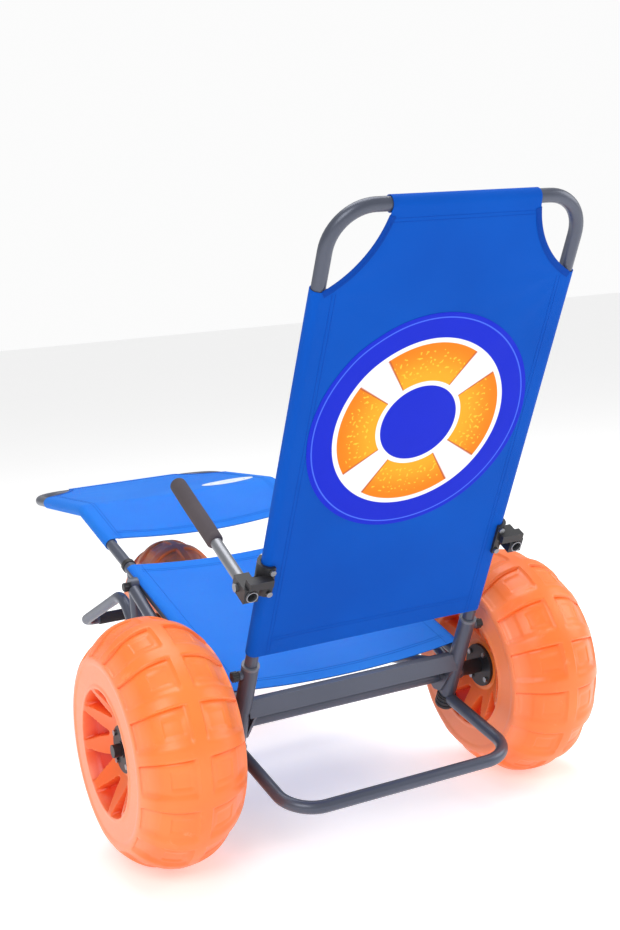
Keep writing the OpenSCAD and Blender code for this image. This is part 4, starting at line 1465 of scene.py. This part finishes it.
@dataclass
class FoamGrip:
    """A foam sleeve pressed on an arm tube, a little crowned and soft at its ends."""

    name: str
    node: str
    body: str
    side: int
    radius: float = 14.7 * MM
    start: float = 0.115
    end: float = 0.288
    across: float = 0.2536
    pivot: float = 0.318

    def build(self, material: bpy.types.Material) -> bpy.types.Object:
        """Makes the grip from a cylinder: more loops, rounded ends, a soft crown and shallow dents.

        Args:
            material: its material.

        Returns:
            The grip.
        """
        length = self.end - self.start
        deselect()
        bpy.ops.mesh.primitive_cylinder_add(vertices=64, radius=self.radius, depth=length)
        grip = newest(self.name)
        apply_modifier(grip, "BEVEL", width=5.5 * MM, segments=6, limit_method="ANGLE",
                       angle_limit=math.radians(60))
        choose(grip)
        bpy.ops.object.mode_set(mode="EDIT")
        for cut in np.linspace(-length / 2 + 8 * MM, length / 2 - 8 * MM, 40):
            bpy.ops.mesh.select_all(action="SELECT")
            bpy.ops.mesh.bisect(plane_co=(0, 0, float(cut)), plane_no=(0, 0, 1))
        bpy.ops.mesh.select_all(action="DESELECT")
        bpy.ops.object.mode_set(mode="OBJECT")
        at = coordinates(grip)
        r, turn, z = np.hypot(at[:, 0], at[:, 1]), np.arctan2(at[:, 1], at[:, 0]), at[:, 2]
        w = 2 * z / length
        squeeze = 0.35 * MM * np.sin(5 * w + turn) * np.cos(2 * turn) + 0.45 * MM * w**2
        r = np.where(r > 9 * MM, r - np.clip(squeeze, 0, 1 * MM), r)
        dimple = 1.6 * MM * (r < 7 * MM) * (w > 0.99)
        along = (self.start + self.end) / 2 + z - dimple
        out = np.array([0, math.cos(BACK_TILT), math.sin(BACK_TILT)])
        up = np.array([0, -math.sin(BACK_TILT), math.cos(BACK_TILT)])
        foot = np.array([self.side * self.across, *BACK_FOOT]) + self.pivot * up
        points = foot + along[:, None] * out + (r * np.cos(turn))[:, None] * np.array([1, 0, 0])
        move_points(grip, points + (r * np.sin(turn))[:, None] * up)
        tidy_shell(grip)
        smooth(grip, 60)
        dress(grip, material)
        finish_piece(grip, self.body, (self.node,))
        return grip


# ---------------------------------------------------------------- studio


@dataclass
class Studio:
    """Pale floor, soft lights and the camera."""

    eye: tuple[float, float, float] = (-1.1575, -2.5263, 0.9525)
    head: float = math.radians(28.313)
    pitch: float = math.radians(5.523)
    roll: float = math.radians(-4.626)
    lens: float = 55.55
    shift: tuple[float, float] = (-0.0382, -0.0479)
    aim: tuple[float, float, float] = (0, 0.1, 0.45)

    def camera(self) -> None:
        """Places the camera."""
        ch, sh = math.cos(self.head), math.sin(self.head)
        cp, sp = math.cos(self.pitch), math.sin(self.pitch)
        forward, right = Vector((sh * cp, ch * cp, -sp)), Vector((ch, -sh, 0))
        up = right.cross(forward)
        cr, sr = math.cos(self.roll), math.sin(self.roll)
        across, above = right * cr + up * sr, up * cr - right * sr
        data = bpy.data.cameras.new("studio_camera")
        data.lens, data.sensor_width, data.sensor_fit = self.lens, 36, "AUTO"
        data.shift_x, data.shift_y = self.shift
        data.clip_end = 200
        camera = bpy.data.objects.new("studio_camera", data)
        bpy.context.scene.collection.objects.link(camera)
        turned = Matrix((across, above, -forward)).transposed().to_4x4()
        camera.matrix_world = Matrix.Translation(self.eye) @ turned
        bpy.context.scene.camera = camera

    def light(self, name: str, place: tuple[float, float, float], size: float,
              power: float) -> None:
        """Adds a square area light that faces the chair.

        Args:
            name: its name.
            place: where it stands.
            size: its side's length.
            power: its power in watts.
        """
        data = bpy.data.lights.new(name, "AREA")
        data.shape, data.size, data.energy = "SQUARE", size, power
        lamp = bpy.data.objects.new(name, data)
        bpy.context.scene.collection.objects.link(lamp)
        lamp.location = place
        towards = Vector(self.aim) - Vector(place)
        lamp.rotation_euler = towards.to_track_quat("-Z", "Y").to_euler()

    def build(self) -> None:
        """Makes the floor, the lights, the pale surroundings and the camera."""
        deselect()
        bpy.ops.mesh.primitive_plane_add(size=60)
        floor = newest("floor")
        m = Material("floor_pale")
        clouds = m.effect(Clouds(), Scale=0.6, Amount=0.5)
        pale = m.mix(clouds, (0.90, 0.90, 0.90, 1), (0.94, 0.94, 0.94, 1))
        m.set(Base_Color=pale, Roughness=0.8, Emission_Strength=0.4, Specular_IOR_Level=0.1)
        m.shader.inputs["Emission Color"].default_value = (1, 1, 1, 1)
        dress(floor, m.material)
        world = bpy.data.worlds.new("pale_room")
        bpy.context.scene.world = world
        world.use_nodes = True
        room = Wiring(world.node_tree)
        seen = room.add("ShaderNodeLightPath").outputs["Is Camera Ray"]
        background = world.node_tree.nodes["Background"]
        room.put(background.inputs[0], (1, 1, 1, 1))
        room.put(background.inputs[1], room.ramp(seen, 0, 1, 0.52, 0.97))
        self.light("key", (-2.6, -3.2, 3.4), 2.4, 86)
        self.light("top", (0.4, 0.6, 4.2), 3.0, 90)
        self.light("side", (3.2, -1.4, 2.0), 2.2, 42)
        bpy.context.scene.view_settings.view_transform = "Standard"
        self.camera()


# ---------------------------------------------------------------- the chair


HARD_FINISHES = {
    "frame_paint": HardFinish(
        "frame_satin_gray", (80, 85, 100), (138, 143, 154), roughness=0.36, metallic=0.35,
        coat=0.15, grain=700, depth=0.00004, wear=0.35, scuff=0.2, clouds=0.18),
    "light_plastic": HardFinish(
        "mouth_rings", (112, 115, 124), (165, 167, 172), roughness=0.42, metallic=0.3,
        grain=500, depth=0.00003, wear=0.4, clouds=0.2),
    "rubber": HardFinish(
        "soft_rubber", (38, 37, 40), (80, 78, 80), roughness=0.78, grain=900, depth=0.0001,
        wear=0.3, scuff=0.25, clouds=0.3),
    "black_plastic": HardFinish(
        "black_plastic", (34, 34, 38), (92, 92, 96), roughness=0.45, grain=520, depth=0.00007,
        scuff=0.25),
    "steel": HardFinish(
        "bright_steel", (140, 142, 146), (215, 215, 218), roughness=0.3, metallic=0.95,
        grain=300, depth=0.00002, wear=0.3, clouds=0.2),
    "aluminium": HardFinish(
        "dull_aluminium", (150, 152, 158), (205, 206, 210), roughness=0.42, metallic=0.85,
        grain=420, depth=0.00003, wear=0.3, clouds=0.2),
    "foam": HardFinish(
        "foam_grip", (80, 72, 76), (112, 104, 106), roughness=0.85, grain=1500, depth=0.0003,
        wear=0.2, scuff=0.2, clouds=0.35),
    "orange_plastic": HardFinish("orange_part", (250, 110, 40), (255, 170, 120)),
}


def dress_frame() -> dict[str, bpy.types.Material]:
    """Gives each CAD node the finish of its slot, which its own material is named after.

    Returns:
        The hard finishes' materials by slot.
    """
    built = {slot: finish.build() for slot, finish in HARD_FINISHES.items()}
    for name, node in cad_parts.items():
        own = node.data.materials
        slot = own[0].name if own and own[0] else "frame_paint"
        dress(node, built.get(slot, built["frame_paint"]))
        LOG.info("%s: %s", name, slot)
    return built


def build_cloths() -> None:
    """Builds the backrest's, the leg rest's and the seat's cloth, and the printed films."""
    blue = ClothFinish("back_cloth_blue", (0, 91, 198), (0, 69, 168), roughness=0.66).build()
    blue_trim = ClothFinish("back_trim_blue", (0, 72, 172), (0, 56, 146), roughness=0.66).build()
    sky = ClothFinish("seat_cloth_blue", (44, 132, 232), (22, 106, 214), glow=0.15).build()
    sky_trim = ClothFinish("seat_trim_blue", (34, 112, 216), (22, 92, 190), roughness=0.66).build()
    thread = ClothFinish("thread_blue", (20, 84, 190), (10, 60, 160), 0.0006).build()

    back = SleevedCloth(
        "back_cloth_panel", "backrest", "back_cloth", "back_fabric",
        Path(BACK_FOOT, math.pi / 2 + BACK_TILT), half=0.2167, start=0.169, side_end=0.847,
        end_tube=0.9735, cut_x=0.2987, cut_v=1.0005, cut_r=0.174, sag=3.0 * MM, hem=0.037)
    back.build(blue, blue_trim, thread, ["back_tube"])

    knee = 0.272 - KNEE_TANGENT
    past = knee + KNEE_RADIUS * KNEE_TURN - KNEE_TANGENT
    leg_front = past + 0.378
    leg = SleevedCloth(
        "leg_cloth_panel", "legrest", "seat_cloth", "leg_fabric",
        Path(RAIL_START, SEAT_TILT, bend_at=knee, bend_turn=KNEE_TURN), half=0.222, start=0.105,
        side_end=leg_front - 0.1265, end_tube=leg_front, cut_x=0.304, cut_v=past + 0.405,
        cut_r=0.174, sag=4.0 * MM, hem=0.03, hem_sag=15 * MM, body_rows=90)
    leg.build(sky, sky_trim, thread, ["leg_tube"])
    SeatCloth(Path(RAIL_START, SEAT_TILT)).build(sky, sky_trim, thread)

    ring = PrintFinish("life_ring_print", PrintKind.LIFE_RING, (2, 36, 206)).build()
    Film("back_print_film", "back_print", back, (0.0, 0.599), (0.196, 0.196), "print").build(ring)
    spot = PrintFinish("leg_patch_print", PrintKind.PLAIN_RING, (236, 240, 246)).build()
    Film("leg_patch_film", "leg_patch", leg, (0.137, past + 0.0507), (0.062, 0.034),
         "patch").build(spot)


def build_wheels_and_grips(foam: bpy.types.Material) -> None:
    """Builds the three wheels and the two arm grips.

    Args:
        foam: the grips' material.
    """
    orange = WheelFinish().build()
    for side, word in SIDES:
        Wheel(f"rear_wheel_{word}", f"wheel_rear_{word}", f"wheel_rear_{word}_body",
              (side * 0.357, AXLE_Y, AXLE_Z), radius=0.210, half=0.0935, shoulder=0.050,
              hub_half=0.057, phase=0.1 * side).build(orange)
        FoamGrip(f"foam_grip_{word}", f"arm_grip_{word}", f"armrest_{word}", side).build(foam)
    Wheel("front_wheel", "wheel_front", "wheel_front_body", (0, AXLE_Y + WHEELBASE, 0.200),
          radius=0.200, half=0.072, shoulder=0.042, hub_half=0.046).build(orange)


def main() -> None:
    """Builds the studio and every piece in order."""
    logging.basicConfig(level=logging.INFO, format="%(name)s %(message)s")
    Studio().build()
    built = dress_frame()
    build_cloths()
    build_wheels_and_grips(built["foam"])


if __name__ == "__main__":
    main()
